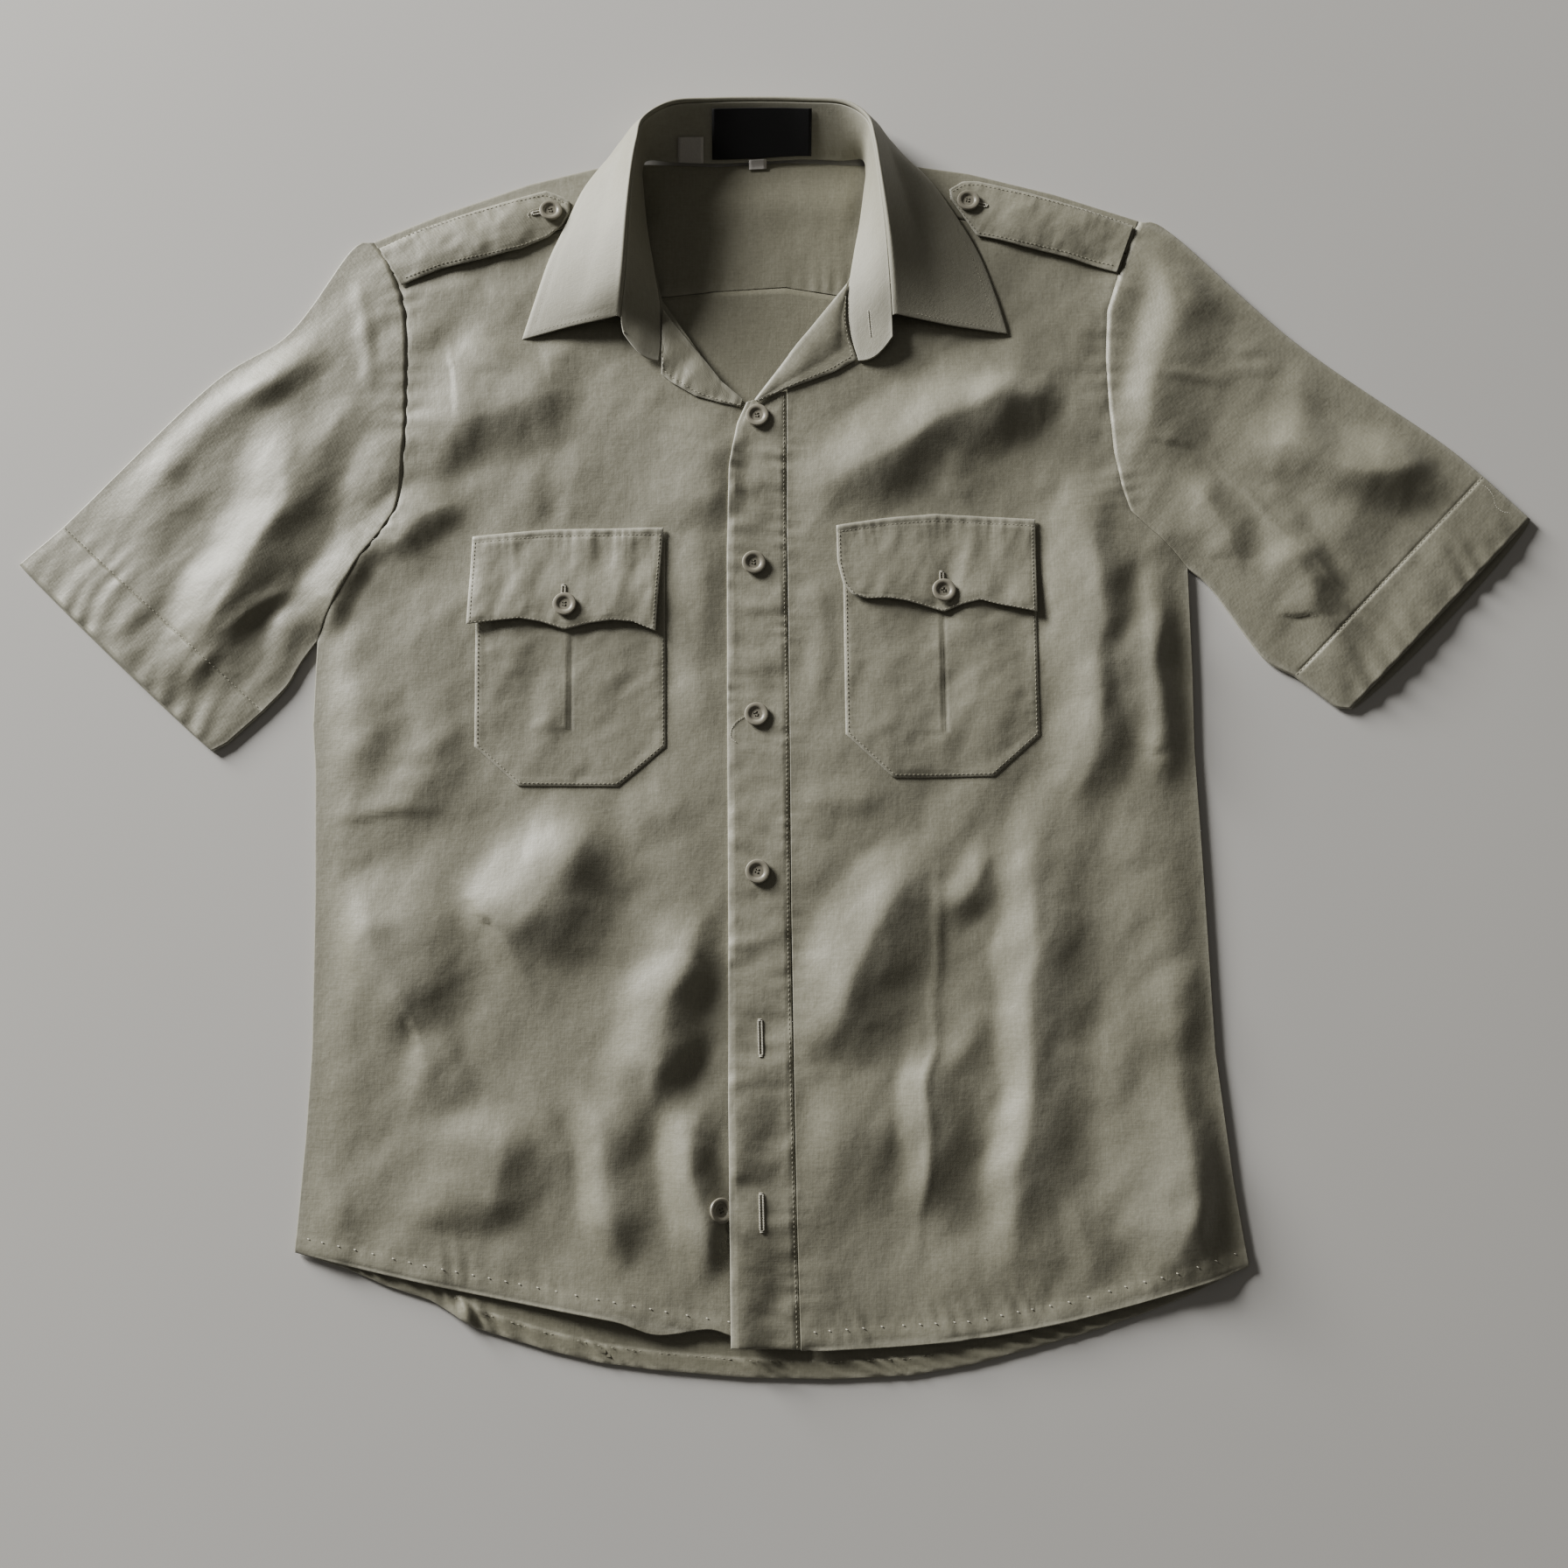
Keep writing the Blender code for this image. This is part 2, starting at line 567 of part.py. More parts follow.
def sleeve_point(armhole, top, under, shift, u_index, v):
    """A point of the flat sleeve; v is 0 at the armhole and 1 at the cuff."""
    lengths = [0.0]
    for a, b in zip(armhole, armhole[1:]):
        lengths.append(lengths[-1] + math.dist(a, b))
    u = lengths[u_index] / lengths[-1]
    cuff_top, cuff_under = Vector(top[-1]), Vector(under[-1])
    start = Vector(armhole[u_index]) + Vector(shift)
    across = start.lerp(cuff_top.lerp(cuff_under, u), v)
    edges = along(top, v).lerp(along(under, v), u)
    corners = Vector(armhole[0]).lerp(Vector(armhole[-1]), u).lerp(cuff_top.lerp(cuff_under, u), v)
    return across + edges - corners


def make_sleeve(name, armhole, top, under, shift):
    """An open tube pressed flat, from the armhole to the cuff."""
    outer, inner = [], []
    rings = 11
    turn = (FRONT_FLOOR + CLOTH) / 2
    for ring in range(rings + 1):
        v = ring / rings
        line = [sleeve_point(armhole, top, under, shift, i, v) for i in range(len(armhole))]
        first = (line[0] - line[1]).normalized()
        last = (line[-1] - line[-2]).normalized()
        flat = [Vector((*p, 0)) for p in line]
        cover = [Vector((*p, top_layer(*p) + CLOTH)) for p in line]
        fold_a = Vector((*(line[0] + first * 0.9), turn))
        fold_b = Vector((*(line[-1] + last * 0.9), turn))
        outer.append(flat + [fold_b] + cover[::-1] + [fold_a])
        inside_flat = [p + Vector((0, 0, CLOTH)) for p in flat]
        inside_cover = [p - Vector((0, 0, CLOTH)) for p in cover]
        turn_b = Vector((*(line[-1] + last * 0.1), turn))
        turn_a = Vector((*(line[0] + first * 0.1), turn))
        inner.append(inside_flat + [turn_b] + inside_cover[::-1] + [turn_a])
    finish(name, wall(outer, inner, ring=True))


def placket_lift(x, y):
    """The loose lower end of the band stands off along its free edge."""
    down = smooth((PLACKET_LIFT_START - y) / PLACKET_LIFT_REACH)
    free_edge = 1 - smooth((x + 24) / (PLACKET_WIDTH * 0.75))
    return RESTING_GAP + PLACKET_LIFT * down * free_edge


def make_placket(carrier):
    bm = cut_from(carrier, PLACKET_OUTLINE, placket_lift)
    top = bm.copy()
    bmesh.ops.translate(top, verts=top.verts, vec=(0, 0, CLOTH))
    finish("placket", thick_patch(bm, lambda x, y: CLOTH))
    return top


def make_pocket(name, carrier, outline, pleat):
    pleat_x, pleat_top, pleat_end = pleat
    bm = cut_from(carrier, outline, lambda x, y: RESTING_GAP)
    for x in (pleat_x - PLEAT_HALF_WIDTH, pleat_x, pleat_x + PLEAT_HALF_WIDTH):
        bmesh.ops.bisect_plane(
            bm, geom=list(bm.faces) + list(bm.edges) + list(bm.verts), dist=1e-4,
            plane_co=(x, 0, 0), plane_no=(1, 0, 0),
        )
    bmesh.ops.triangulate(bm, faces=bm.faces)

    def thickness(x, y):
        on_line = abs(x - pleat_x) < PLEAT_HALF_WIDTH / 2 and pleat_end < y < pleat_top
        return POCKET_CLOTH - (PLEAT_DEPTH if on_line else 0.0)

    finish(name, thick_patch(bm, thickness))


def make_flap(name, carrier, outline):
    flap_top = outline[1][1]

    def lift(x, y):
        return 2 * RESTING_GAP + POCKET_CLOTH + FLAP_SPRING * smooth((flap_top - y) / FLAP_HEIGHT) ** 2

    bm = cut_from(carrier, outline, lift)
    top = bm.copy()
    bmesh.ops.translate(top, verts=top.verts, vec=(0, 0, CLOTH))
    finish(name, thick_patch(bm, lambda x, y: CLOTH))
    return top


def make_facings(carrier_right):
    bm = cut_from(carrier_right, FACING_RIGHT_OUTLINE, lambda x, y: RESTING_GAP)
    finish("facing_right", thick_patch(bm, lambda x, y: CLOTH))
    grid = []
    for roll, edge in FACING_LEFT_ROWS:
        line = []
        for c in range(FACING_COLUMNS + 1):
            u = c / FACING_COLUMNS
            x, y = mix(roll, edge, u)
            bow = FACING_ROLL * math.sin(math.pi * min(u * 1.5, 1.0)) * (math.dist(roll, edge) / 40)
            line.append(Vector((x, y, shirt_top(max(x, 1.0), y) + FACING_LIFT + bow)))
        grid.append(line)
    finish("facing_left", wall(grid, raised(grid, CLOTH)))


def make_strap(strap):
    """A strap that lies on the shoulder and stands off a little in the middle."""
    grid = []
    count = len(strap.ends)
    for i, (shoulder_end, chest_end) in enumerate(strap.ends):
        line = []
        for c in range(4):
            u = c / 3
            x, y = mix(shoulder_end, chest_end, u)
            bow = STRAP_BOW * math.sin(math.pi * i / (count - 1)) * math.sin(math.pi * (0.15 + 0.7 * u))
            line.append(Vector((x, y, shirt_top(x, y) + STRAP_CLEARANCE + bow)))
        grid.append(line)
    finish(strap.name, wall(grid, raised(grid, STRAP_CLOTH)))
    return sheet(raised(grid, STRAP_CLOTH))


def stand_point(seam, crest, share):
    """A point on the middle of the stand, a little hollow towards the neck."""
    seam, crest = Vector(seam), Vector(crest)
    length = (crest - seam).length
    return seam.lerp(crest, share * (length - STAND_TOP_CUT) / length)


def make_stand():
    """The band round the neck; returns its middle, station by station."""
    stations = (STAND_END_RIGHT,) + COLLAR + (STAND_END_LEFT,)
    middle = []
    for index, station in enumerate(stations):
        line = []
        for r in range(STAND_ROWS + 1):
            share = r / STAND_ROWS
            point = stand_point(station.seam, station.crest, share)
            if index in (0, len(stations) - 1):
                point.y -= TAB_BULGE * math.sin(math.pi * share)
            line.append(point)
        middle.append(line)
    below, above = thicken(middle, STIFF_CLOTH)
    finish("collar_stand", wall(below, above))
    return middle


def leaf_line(station):
    """The leaf's middle at one station, from the stand's top over the crest to its edge."""
    seam, crest, knee, edge = (Vector(p) for p in station)
    up = (crest - seam).normalized()
    out = (knee - crest).normalized()
    start, end = crest - up * LEAF_ROLL, crest + out * LEAF_ROLL
    reach = LEAF_ROLL * (0.35 + 0.45 * up.dot(out) ** 2)
    rise, fall = start + up * reach, end - out * reach
    line = []
    for t in LEAF_ROLL_STEPS:
        first, over, last = start.lerp(rise, t), rise.lerp(fall, t), fall.lerp(end, t)
        line.append(first.lerp(over, t).lerp(over.lerp(last, t), t))
    line.append(knee)
    for t in LEAF_FALL_STEPS:
        line.append(knee.lerp(edge, t))
    return line


def make_leaf():
    middle = [leaf_line(station) for station in COLLAR]
    below, above = thicken(middle, STIFF_CLOTH)
    finish("collar_leaf", wall(below, above))


def make_labels(stand):
    """Flat pieces that follow the stand's inner face."""
    for name, first, last, low, high, columns, rows, colour in LABELS:
        grid = []
        for i in range(columns + 1):
            s = first + (last - first) * i / columns + 1
            station, t = int(s), s - int(s)
            seam = stand[station][0].lerp(stand[station + 1][0], t)
            crest = stand[station][-1].lerp(stand[station + 1][-1], t)
            grid.append([seam.lerp(crest, low + (high - low) * r / rows) for r in range(rows + 1)])
        offset = STIFF_CLOTH / 2 + LABEL_CLEARANCE + LABEL_CLOTH / 2
        below, above = thicken(grid, 2 * offset)
        inner = below if below[0][0].z > above[0][0].z else above
        for point in (p for line in inner for p in line):
            point.z = max(point.z, TAB_FLOOR)
        low_face, high_face = thicken(inner, LABEL_CLOTH)
        finish(name, wall(low_face, high_face), colour)


def make_button(button, carrier):
    """A turned button that rests on its carrier at the carrier's slope."""
    bm = bmesh.new()
    profile = [bm.verts.new((r, 0, z)) for r, z in BUTTON_PROFILE]
    edges = [bm.edges.new(pair) for pair in zip(profile, profile[1:])]
    bmesh.ops.spin(
        bm, geom=profile + edges, cent=(0, 0, 0), axis=(0, 0, 1), angle=math.tau,
        steps=BUTTON_SIDES, use_merge=True,
    )
    obj = finish(button.name, bm, BUTTON_COLOUR, 0.4)
    tree = BVHTree.FromBMesh(carrier)

    def height(x, y):
        hit = tree.ray_cast(Vector((x, y, 100)), Vector((0, 0, -1)))[0]
        return hit.z if hit else None

    r = BUTTON_RADIUS
    rim = [(r * math.cos(a), r * math.sin(a)) for a in (math.tau * k / 16 for k in range(16))]
    rim += [(x / 2, y / 2) for x, y in rim] + [(0, 0)]
    heights = [(dx, dy, height(button.x + dx, button.y + dy)) for dx, dy in rim]
    heights = [h for h in heights if h[2] is not None]
    slope_x = sum(dx * z for dx, dy, z in heights) / sum(dx * dx for dx, dy, z in heights)
    slope_y = sum(dy * z for dx, dy, z in heights) / sum(dy * dy for dx, dy, z in heights)
    level = max(z - slope_x * dx - slope_y * dy for dx, dy, z in heights)
    normal = Vector((-slope_x, -slope_y, 1)).normalized()
    obj.rotation_mode = "QUATERNION"
    obj.rotation_quaternion = Vector((0, 0, 1)).rotation_difference(normal)
    obj.location = (FRAME + Vector((button.x, button.y, level + RESTING_GAP / normal.z))) * MM
    return obj


def main():
    for old in list(bpy.data.objects):
        bpy.data.objects.remove(old)
    make_back()
    make_yoke()
    carriers = {
        "front_right": make_front("front_right", FRONT_RIGHT_ROWS, top_layer),
        "front_left": make_front("front_left", FRONT_LEFT_ROWS, front_left_layer),
    }
    make_sleeve("sleeve_right", ARMHOLE_RIGHT, SLEEVE_TOP_RIGHT, SLEEVE_UNDER_RIGHT, SEAM_SHIFT_RIGHT)
    make_sleeve("sleeve_left", ARMHOLE_LEFT, SLEEVE_TOP_LEFT, SLEEVE_UNDER_LEFT, SEAM_SHIFT_LEFT)
    carriers["placket"] = make_placket(carriers["front_right"])
    make_pocket("pocket_right", carriers["front_right"], POCKET_RIGHT, PLEAT_RIGHT)
    make_pocket("pocket_left", carriers["front_left"], POCKET_LEFT, PLEAT_LEFT)
    carriers["flap_right"] = make_flap("flap_right", carriers["front_right"], FLAP_RIGHT)
    carriers["flap_left"] = make_flap("flap_left", carriers["front_left"], FLAP_LEFT)
    make_facings(carriers["front_right"])
    for strap in STRAPS:
        carriers[strap.name] = make_strap(strap)
    stand = make_stand()
    make_leaf()
    make_labels(stand)
    for button in BUTTONS:
        make_button(button, carriers[button.carrier])
    for bm in carriers.values():
        bm.free()


main()
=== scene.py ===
# %% [markdown]
# # A short-sleeve khaki shirt, laid flat
# The shirt lies on its back on a pale floor, with its collar open and its top layer in soft
# folds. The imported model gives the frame: every piece here takes the place of one solid
# and lies where that solid lies, as a thin shell of cloth.

# %% Load the frame
import math
from collections import namedtuple

import bmesh
import bpy
import numpy as np
from mathutils import Matrix, Vector


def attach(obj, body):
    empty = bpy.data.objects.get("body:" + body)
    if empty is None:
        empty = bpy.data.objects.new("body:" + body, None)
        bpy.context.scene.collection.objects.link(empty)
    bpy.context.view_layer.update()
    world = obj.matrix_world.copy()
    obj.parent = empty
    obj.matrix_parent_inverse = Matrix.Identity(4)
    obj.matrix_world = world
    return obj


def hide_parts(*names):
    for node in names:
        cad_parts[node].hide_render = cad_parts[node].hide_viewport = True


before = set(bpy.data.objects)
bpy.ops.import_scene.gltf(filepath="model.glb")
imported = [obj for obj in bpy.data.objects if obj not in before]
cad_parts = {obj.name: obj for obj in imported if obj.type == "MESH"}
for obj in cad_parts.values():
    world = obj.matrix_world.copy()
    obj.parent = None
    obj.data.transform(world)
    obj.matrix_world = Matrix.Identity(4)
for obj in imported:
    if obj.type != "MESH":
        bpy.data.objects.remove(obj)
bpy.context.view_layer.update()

print("solids:", len(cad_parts))

# %% [markdown]
# ## Sizes
# Lengths are millimetres in the maker's drawing, whose zero lies a few millimetres from the
# middle of the outline. One offset moves the drawing to the frame when a mesh is made.

# %% Cloth, gaps and the offset of the drawing
MM = 0.001
OFFSET = np.array((0.5, -5.4, 0.0))
CLOTH = 1.2
GAP = 0.3
RESTING_GAP = 0.34
FRONT_FLOOR = CLOTH + GAP
LAYER = CLOTH + GAP
LOFT = 1.4
EDGE_REACH = 28.0
SHELL = 0.7
POCKET_CLOTH = 1.0
COLLAR_CLOTH = 1.5

# %% [markdown]
# ## Outlines
# A flat shirt is ruled by a few lines: the armhole seams, the folded edges of the sleeves,
# the side seams, the shoulder folds and the curved hems. They are the same lines as the
# solids have, so the thin shells end where the solids end.

# %% Outlines of the panels
ARMHOLE_RIGHT = (
    (-265, 311), (-256, 300), (-245, 274), (-241, 257), (-239, 232), (-238, 185),
    (-239, 143), (-242, 125), (-251, 110), (-262, 95), (-283, 55), (-288, 41),
)
ARMHOLE_LEFT = (
    (237, 326), (223, 290), (214, 262), (212, 229), (213, 193), (215, 164),
    (219, 141), (224, 125), (232, 117), (241, 108.5), (251, 98), (259, 88),
)
SLEEVE_TOP_RIGHT = ((-265, 311), (-280, 305), (-317, 247), (-366, 211), (-453, 115), (-479, 90))
SLEEVE_UNDER_RIGHT = ((-288, 41), (-298, 26), (-306, 11), (-320, -5), (-341, -25), (-350, -30))
SLEEVE_TOP_LEFT = ((237, 326), (259, 317), (335, 241), (421, 175), (450, 149), (478, 120))
SLEEVE_UNDER_LEFT = ((259, 88), (273, 75), (295, 42), (307, 27), (323, 18), (348, -2), (357, -3))
SIDE_RIGHT = (
    (-288, 41), (-288, -14), (-285, -42), (-281, -120), (-278, -213), (-279, -264), (-282, -330),
)
SIDE_LEFT = ((259, 88), (259, 20), (258, -29), (260, -107), (262, -213), (269, -289), (275.5, -338))
SHOULDER_RIGHT = ((-91, 368), (-120, 364), (-165, 352), (-223, 330), (-265, 311))
SHOULDER_LEFT = ((58, 367), (93, 365), (126, 360), (182, 345), (237, 326))
FOLDED_EDGES = (
    SHOULDER_RIGHT, SLEEVE_TOP_RIGHT, SLEEVE_UNDER_RIGHT, SIDE_RIGHT,
    SHOULDER_LEFT, SLEEVE_TOP_LEFT, SLEEVE_UNDER_LEFT, SIDE_LEFT,
)
BACK_HEM = (
    (-282, -330), (-252, -339), (-228, -349), (-202, -357), (-174, -373), (-133, -385),
    (-102, -392), (-70, -396), (-20, -400), (30, -401), (77, -399), (112, -393),
    (139, -386), (184, -374), (211, -365), (238, -355), (275.5, -338),
)
print("armhole points:", len(ARMHOLE_RIGHT), len(ARMHOLE_LEFT))

# %% Rows across the two fronts: side point, point at the closure, and sag
Row = namedtuple("Row", "side_x side_y centre_x centre_y sag")
FRONT_RIGHT_ROWS = (
    Row(-250.9, 287.6, -91, 333.6, 0), Row(-245, 274, -87, 317, 0), Row(-241, 257, -82, 295, 0),
    Row(-239, 232, -75, 268, 0), Row(-238.5, 208.5, -60, 246, 0), Row(-238, 185, -45, 224, 0),
    Row(-238.5, 164, -32, 206, 0), Row(-239, 143, -20, 198, 0), Row(-242, 125, 5.3, 203, 0),
    Row(-251, 110, 5.3, 176, 0), Row(-262, 95, 5.3, 150, 0), Row(-272.5, 75, 5.3, 123, 0),
    Row(-283, 55, 5.3, 98, 0), Row(-288, 41, 5.3, 75, 0), Row(-288, -14, 6.7, -12, 0),
    Row(-285, -42, 7.0, -45, 0), Row(-281, -120, 7.5, -125, 0), Row(-278, -213, 9.0, -225, 0),
    Row(-279, -264, 10.0, -290, 0), Row(-282, -330, 13.0, -384, 4),
)
FRONT_LEFT_ROWS = (
    Row(227.6, 301.6, 62, 339.6, 0), Row(223, 290, 60, 325, 0), Row(214, 262, 53, 297, 0),
    Row(213, 245.5, 45, 280, 0), Row(212, 229, 32, 262, 0), Row(212.5, 211, 18, 244, 0),
    Row(213, 193, 7, 230, 0), Row(215, 164, 6.0, 207, 0), Row(219, 141, 6.0, 188, 0),
    Row(224, 125, 6.0, 170, 0), Row(232, 117, 6.0, 157, 0), Row(241, 108.5, 6.0, 144, 0),
    Row(251, 98, 6.0, 128, 0), Row(259, 88, 6.0, 112, 0), Row(259, 20, 7.2, 20, 0),
    Row(258, -29, 7.8, -40, 0), Row(260, -107, 8.5, -125, 0), Row(262, -213, 10.0, -225, 0),
    Row(269, -289, 11.7, -310, 0), Row(275.5, -338, 13.7, -384.5, 12),
)

# %% [markdown]
# ## Folds
# Cloth that lies flat still keeps long soft ridges where it was pushed together, troughs
# between them, and thin pressed lines from being folded in a drawer. Each one is given
# as a line with a height and a width on either side, so that one flank can be steep
# and the other gentle, as the real ones are.

# %% The folds of the top layer, each with its crest, height, and reach to its lit and shaded side
Crease = namedtuple("Crease", "line height lit shade")
LIT_SIDE = (-0.68, 0.73)
SKIRT = 1.45
DEPTH = 1.8
CREASES = (
    # wearer's right front
    Crease(((-102, -69), (-134, -108), (-142, -122), (-163, -147), (-181, -157)), 6.2, 34, 34),
    Crease(((-260, -108), (-242, -149), (-224, -189), (-211, -211)), 4.2, 22, 42),
    Crease(((-225, -223), (-210, -226), (-202, -216), (-186, -206)), 3.2, 34, 24),
    Crease(((-30, -139), (-54, -160), (-64, -185), (-67, -209), (-73, -238), (-78, -267)), 5.6, 26, 20),
    Crease(((-42, -130), (-52, -147), (-62, -160)), 0.9, 5, 5),
    Crease(((-30, -236), (-44, -251), (-50, -263), (-49, -283), (-44, -306), (-41, -328), (-40, -355)), 5.2, 17, 13),
    Crease(((-115, -228), (-104, -267), (-100, -296), (-92, -321), (-82, -343)), 4.0, 15, 24),
    Crease(((-159, -244), (-161, -275), (-166, -298), (-170, -326)), 3.6, 38, 20),
    Crease(((-151, -228), (-138, -252), (-130, -277), (-125, -292)), 1.3, 10, 9),
    Crease(((-140, -175), (-138, -185), (-143, -193)), 0.8, 5, 5),
    Crease(((-274, -273), (-266, -286), (-259, -306), (-255, -325)), 1.7, 9, 10),
    Crease(((-280, -108), (-274, -122), (-263, -130)), 2.2, 14, 12),
    Crease(((-95, -236), (-89, -252), (-81, -273)), 1.6, 14, 12),
    Crease(((-193, -279), (-194, -298), (-199, -317)), 1.4, 18, 18),
    Crease(((-278, -169), (-276, -228), (-274, -277), (-273, -317)), 0.9, 2.2, 2.2),
    Crease(((-199, -114), (-208, -132), (-228, -153)), 1.6, 20, 22),
    Crease(((-101, -120), (-113, -145), (-116, -169)), 1.8, 24, 20),
    # below and beside the right pocket
    Crease(((-282, -71), (-245, -71), (-197, -68)), 1.2, 10, 4),
    Crease(((-281, -88), (-261, -85)), 0.7, 5, 4),
    Crease(((-148, -67), (-149, -86), (-150, -113)), 0.8, 4, 5),
    Crease(((-98, -54), (-79, -70), (-47, -62)), 1.6, 14, 14),
    Crease(((-55, 139), (-46, 92), (-48, 24), (-40, -32)), 1.6, 16, 16),
    Crease(((-227, 1), (-209, -43), (-234, -81)), 1.8, 20, 20),
    Crease(((-269, 24), (-253, -15), (-262, -54)), 2.2, 18, 18),
    # right chest
    Crease(((-240, 184), (-209, 182), (-183, 186), (-164, 195), (-144, 201), (-117, 204)), 3.8, 46, 24),
    Crease(((-128, 175), (-131, 145), (-133, 113)), 2.2, 12, 14),
    Crease(((-150, 159), (-157, 138), (-163, 115)), 1.9, 12, 14),
    Crease(((-104, 144), (-104, 128), (-105, 115)), 1.1, 9, 10),
    Crease(((-33, 186), (-40, 168), (-45, 138), (-42, 107)), 3.0, 42, 17),
    Crease(((-141, 242), (-141, 225)), 1.6, 9, 9),
    Crease(((-178, 279), (-179, 263), (-184, 253)), 1.4, 10, 10),
    Crease(((-232, 267), (-214, 277), (-192, 285)), 1.8, 9, 15),
    Crease(((-185, 212), (-183, 226), (-179, 242)), 1.6, 18, 18),
    Crease(((-256, 92), (-236, 112), (-205, 132), (-194, 139)), 3.8, 17, 15),
    Crease(((-239, 81), (-227, 92), (-215, 105)), 1.4, 8, 8),
    Crease(((-104, 92), (-62, 58), (-54, 18)), 1.2, 16, 16),
    # wearer's left front, low
    Crease(((104, -92), (91, -104), (71, -122), (56, -143), (46, -168), (38, -196), (33, -225)), 5.2, 24, 30),
    Crease(((139, -89), (124, -112), (110, -125), (92, -138)), 3.8, 15, 12),
    Crease(((96, -68), (94, -139), (91, -225), (90, -274), (86, -313), (82, -364)), 0.9, 3, 3),
    Crease(((93, -196), (91, -233), (90, -264), (87, -292), (84, -323)), 3.8, 14, 24),
    Crease(((176, -51), (161, -85), (152, -123), (151, -168), (152, -213), (148, -256), (142, -295),
           (138, -332), (141, -368)), 5.0, 15, 32),
    Crease(((273, -242), (260, -262), (250, -284), (244, -303), (233, -326), (218, -351)), 4.8, 46, 28),
    Crease(((244, -150), (262, -172), (263, -192), (268, -217)), 3.4, 34, 16),
    Crease(((13, -253), (37, -254), (61, -265), (85, -275)), 2.8, 24, 30),
    Crease(((14, -119), (27, -106), (42, -89)), 1.6, 14, 16),
    Crease(((17, -196), (21, -221), (29, -242)), 1.2, 14, 16),
    Crease(((177, -284), (180, -309), (183, -334), (180, -355)), 2.0, 10, 16),
    Crease(((170, -225), (180, -213), (185, -196)), 1.6, 14, 12),
    Crease(((123, -180), (114, -205), (101, -229)), 1.8, 16, 18),
    Crease(((209, -106), (214, -89), (225, -73)), 1.8, 12, 16),
    Crease(((203, -209), (198, -237), (189, -256)), 1.4, 20, 18),
    Crease(((26, -330), (25, -349), (28, -368)), 1.3, 14, 14),
    Crease(((108, -319), (111, -342), (109, -361)), 1.2, 14, 12),
    Crease(((118, -208), (128, -207), (138, -207)), 0.5, 2.5, 2.5),
    # left side below the armhole
    Crease(((208, 162), (200, 115), (201, 58), (202, 1), (189, -43), (161, -81)), 4.6, 24, 20),
    Crease(((251, 86), (242, 63), (236, 24), (241, -32), (221, -54)), 4.2, 18, 18),
    Crease(((225, 58), (218, 13), (220, -21)), 1.8, 12, 12),
    Crease(((172, 104), (176, 58), (172, 13)), 1.2, 12, 14),
    Crease(((185, 74), (194, 68), (201, 58)), -1.4, 8, 8),
    # left chest
    Crease(((10, 122), (36, 142), (65, 160), (91, 176), (119, 190), (151, 209), (180, 233)), 5.4, 28, 27),
    Crease(((102, 131), (114, 146), (122, 164)), 2.4, 18, 17),
    Crease(((119, 189), (143, 201), (170, 199), (189, 193)), 2.6, 14, 24),
    Crease(((73, 243), (95, 248), (127, 243)), 1.6, 12, 20),
    Crease(((190, 239), (203, 248), (210, 255)), 2.0, 12, 12),
    Crease(((164, 147), (177, 143)), 1.4, 8, 10),
    Crease(((122, 115), (117, 133), (120, 147)), 0.8, 7, 7),
    Crease(((84, 115), (79, 130), (78, 141)), 0.7, 7, 7),
    Crease(((11, -67), (38, -62), (76, -57)), 1.5, 12, 9),
    Crease(((23, 92), (28, 35), (22, -21)), 0.9, 10, 8),
    # wearer's right sleeve
    Crease(((-279, 290), (-308, 255), (-342, 216), (-373, 191), (-398, 165), (-428, 133), (-451, 111)), 1.8, 12, 20),
    Crease(((-293, 247), (-311, 227), (-331, 215), (-360, 206)), 2.6, 13, 15),
    Crease(((-304, 203), (-310, 160), (-313, 129), (-324, 103), (-342, 70), (-353, 46), (-362, 23),
           (-370, -6)), 5.0, 26, 25),
    Crease(((-295, 87), (-315, 69), (-341, 48), (-356, 35)), 2.0, 7, 8),
    Crease(((-296, 65), (-306, 38), (-312, 19), (-318, 1)), 2.8, 12, 16),
    Crease(((-246, 117), (-263, 95), (-277, 70), (-287, 46), (-297, 26)), 3.6, 18, 9),
    Crease(((-275, 293), (-267, 255), (-262, 199)), 1.2, 6, 5),
    Crease(((-261, 202), (-283, 186), (-302, 154)), 1.6, 10, 14),
    Crease(((-246, 270), (-261, 254), (-277, 235)), 1.4, 9, 9),
    Crease(((-243, 243), (-258, 223), (-268, 199)), 1.0, 9, 9),
    Crease(((-334, 79), (-350, 51), (-363, 43)), 1.2, 6, 8),
    Crease(((-336, 150), (-318, 121), (-313, 103)), 0.8, 6, 6),
    Crease(((-244, 179), (-254, 150), (-271, 121)), 1.6, 16, 16),
    Crease(((-369, 141), (-391, 117), (-412, 103)), 1.4, 22, 18),
    # cuff of the right sleeve
    Crease(((-421, 93), (-434, 81), (-445, 66)), 1.5, 8, 8),
    Crease(((-399, 63), (-410, 51), (-421, 38)), 1.5, 7, 8),
    Crease(((-410, 77), (-424, 63), (-431, 51)), 1.0, 6, 6),
    Crease(((-386, 51), (-396, 37), (-406, 26)), 1.2, 6, 7),
    Crease(((-373, 40), (-382, 23), (-387, 10)), 1.7, 8, 9),
    # wearer's left sleeve
    Crease(((256, 322), (255, 267), (248, 232), (238, 198), (230, 171), (235, 141)), 3.8, 15, 32),
    Crease(((326, 248), (307, 235), (288, 229)), 1.2, 6, 5),
    Crease(((238, 216), (265, 216), (296, 212)), 1.3, 5, 4),
    Crease(((268, 217), (300, 221), (335, 221)), 1.0, 5, 5),
    Crease(((285, 167), (310, 169), (329, 166), (352, 154), (375, 148), (394, 149), (416, 155),
           (436, 163)), 5.2, 26, 20),
    Crease(((354, 231), (341, 216), (326, 189)), 1.6, 12, 14),
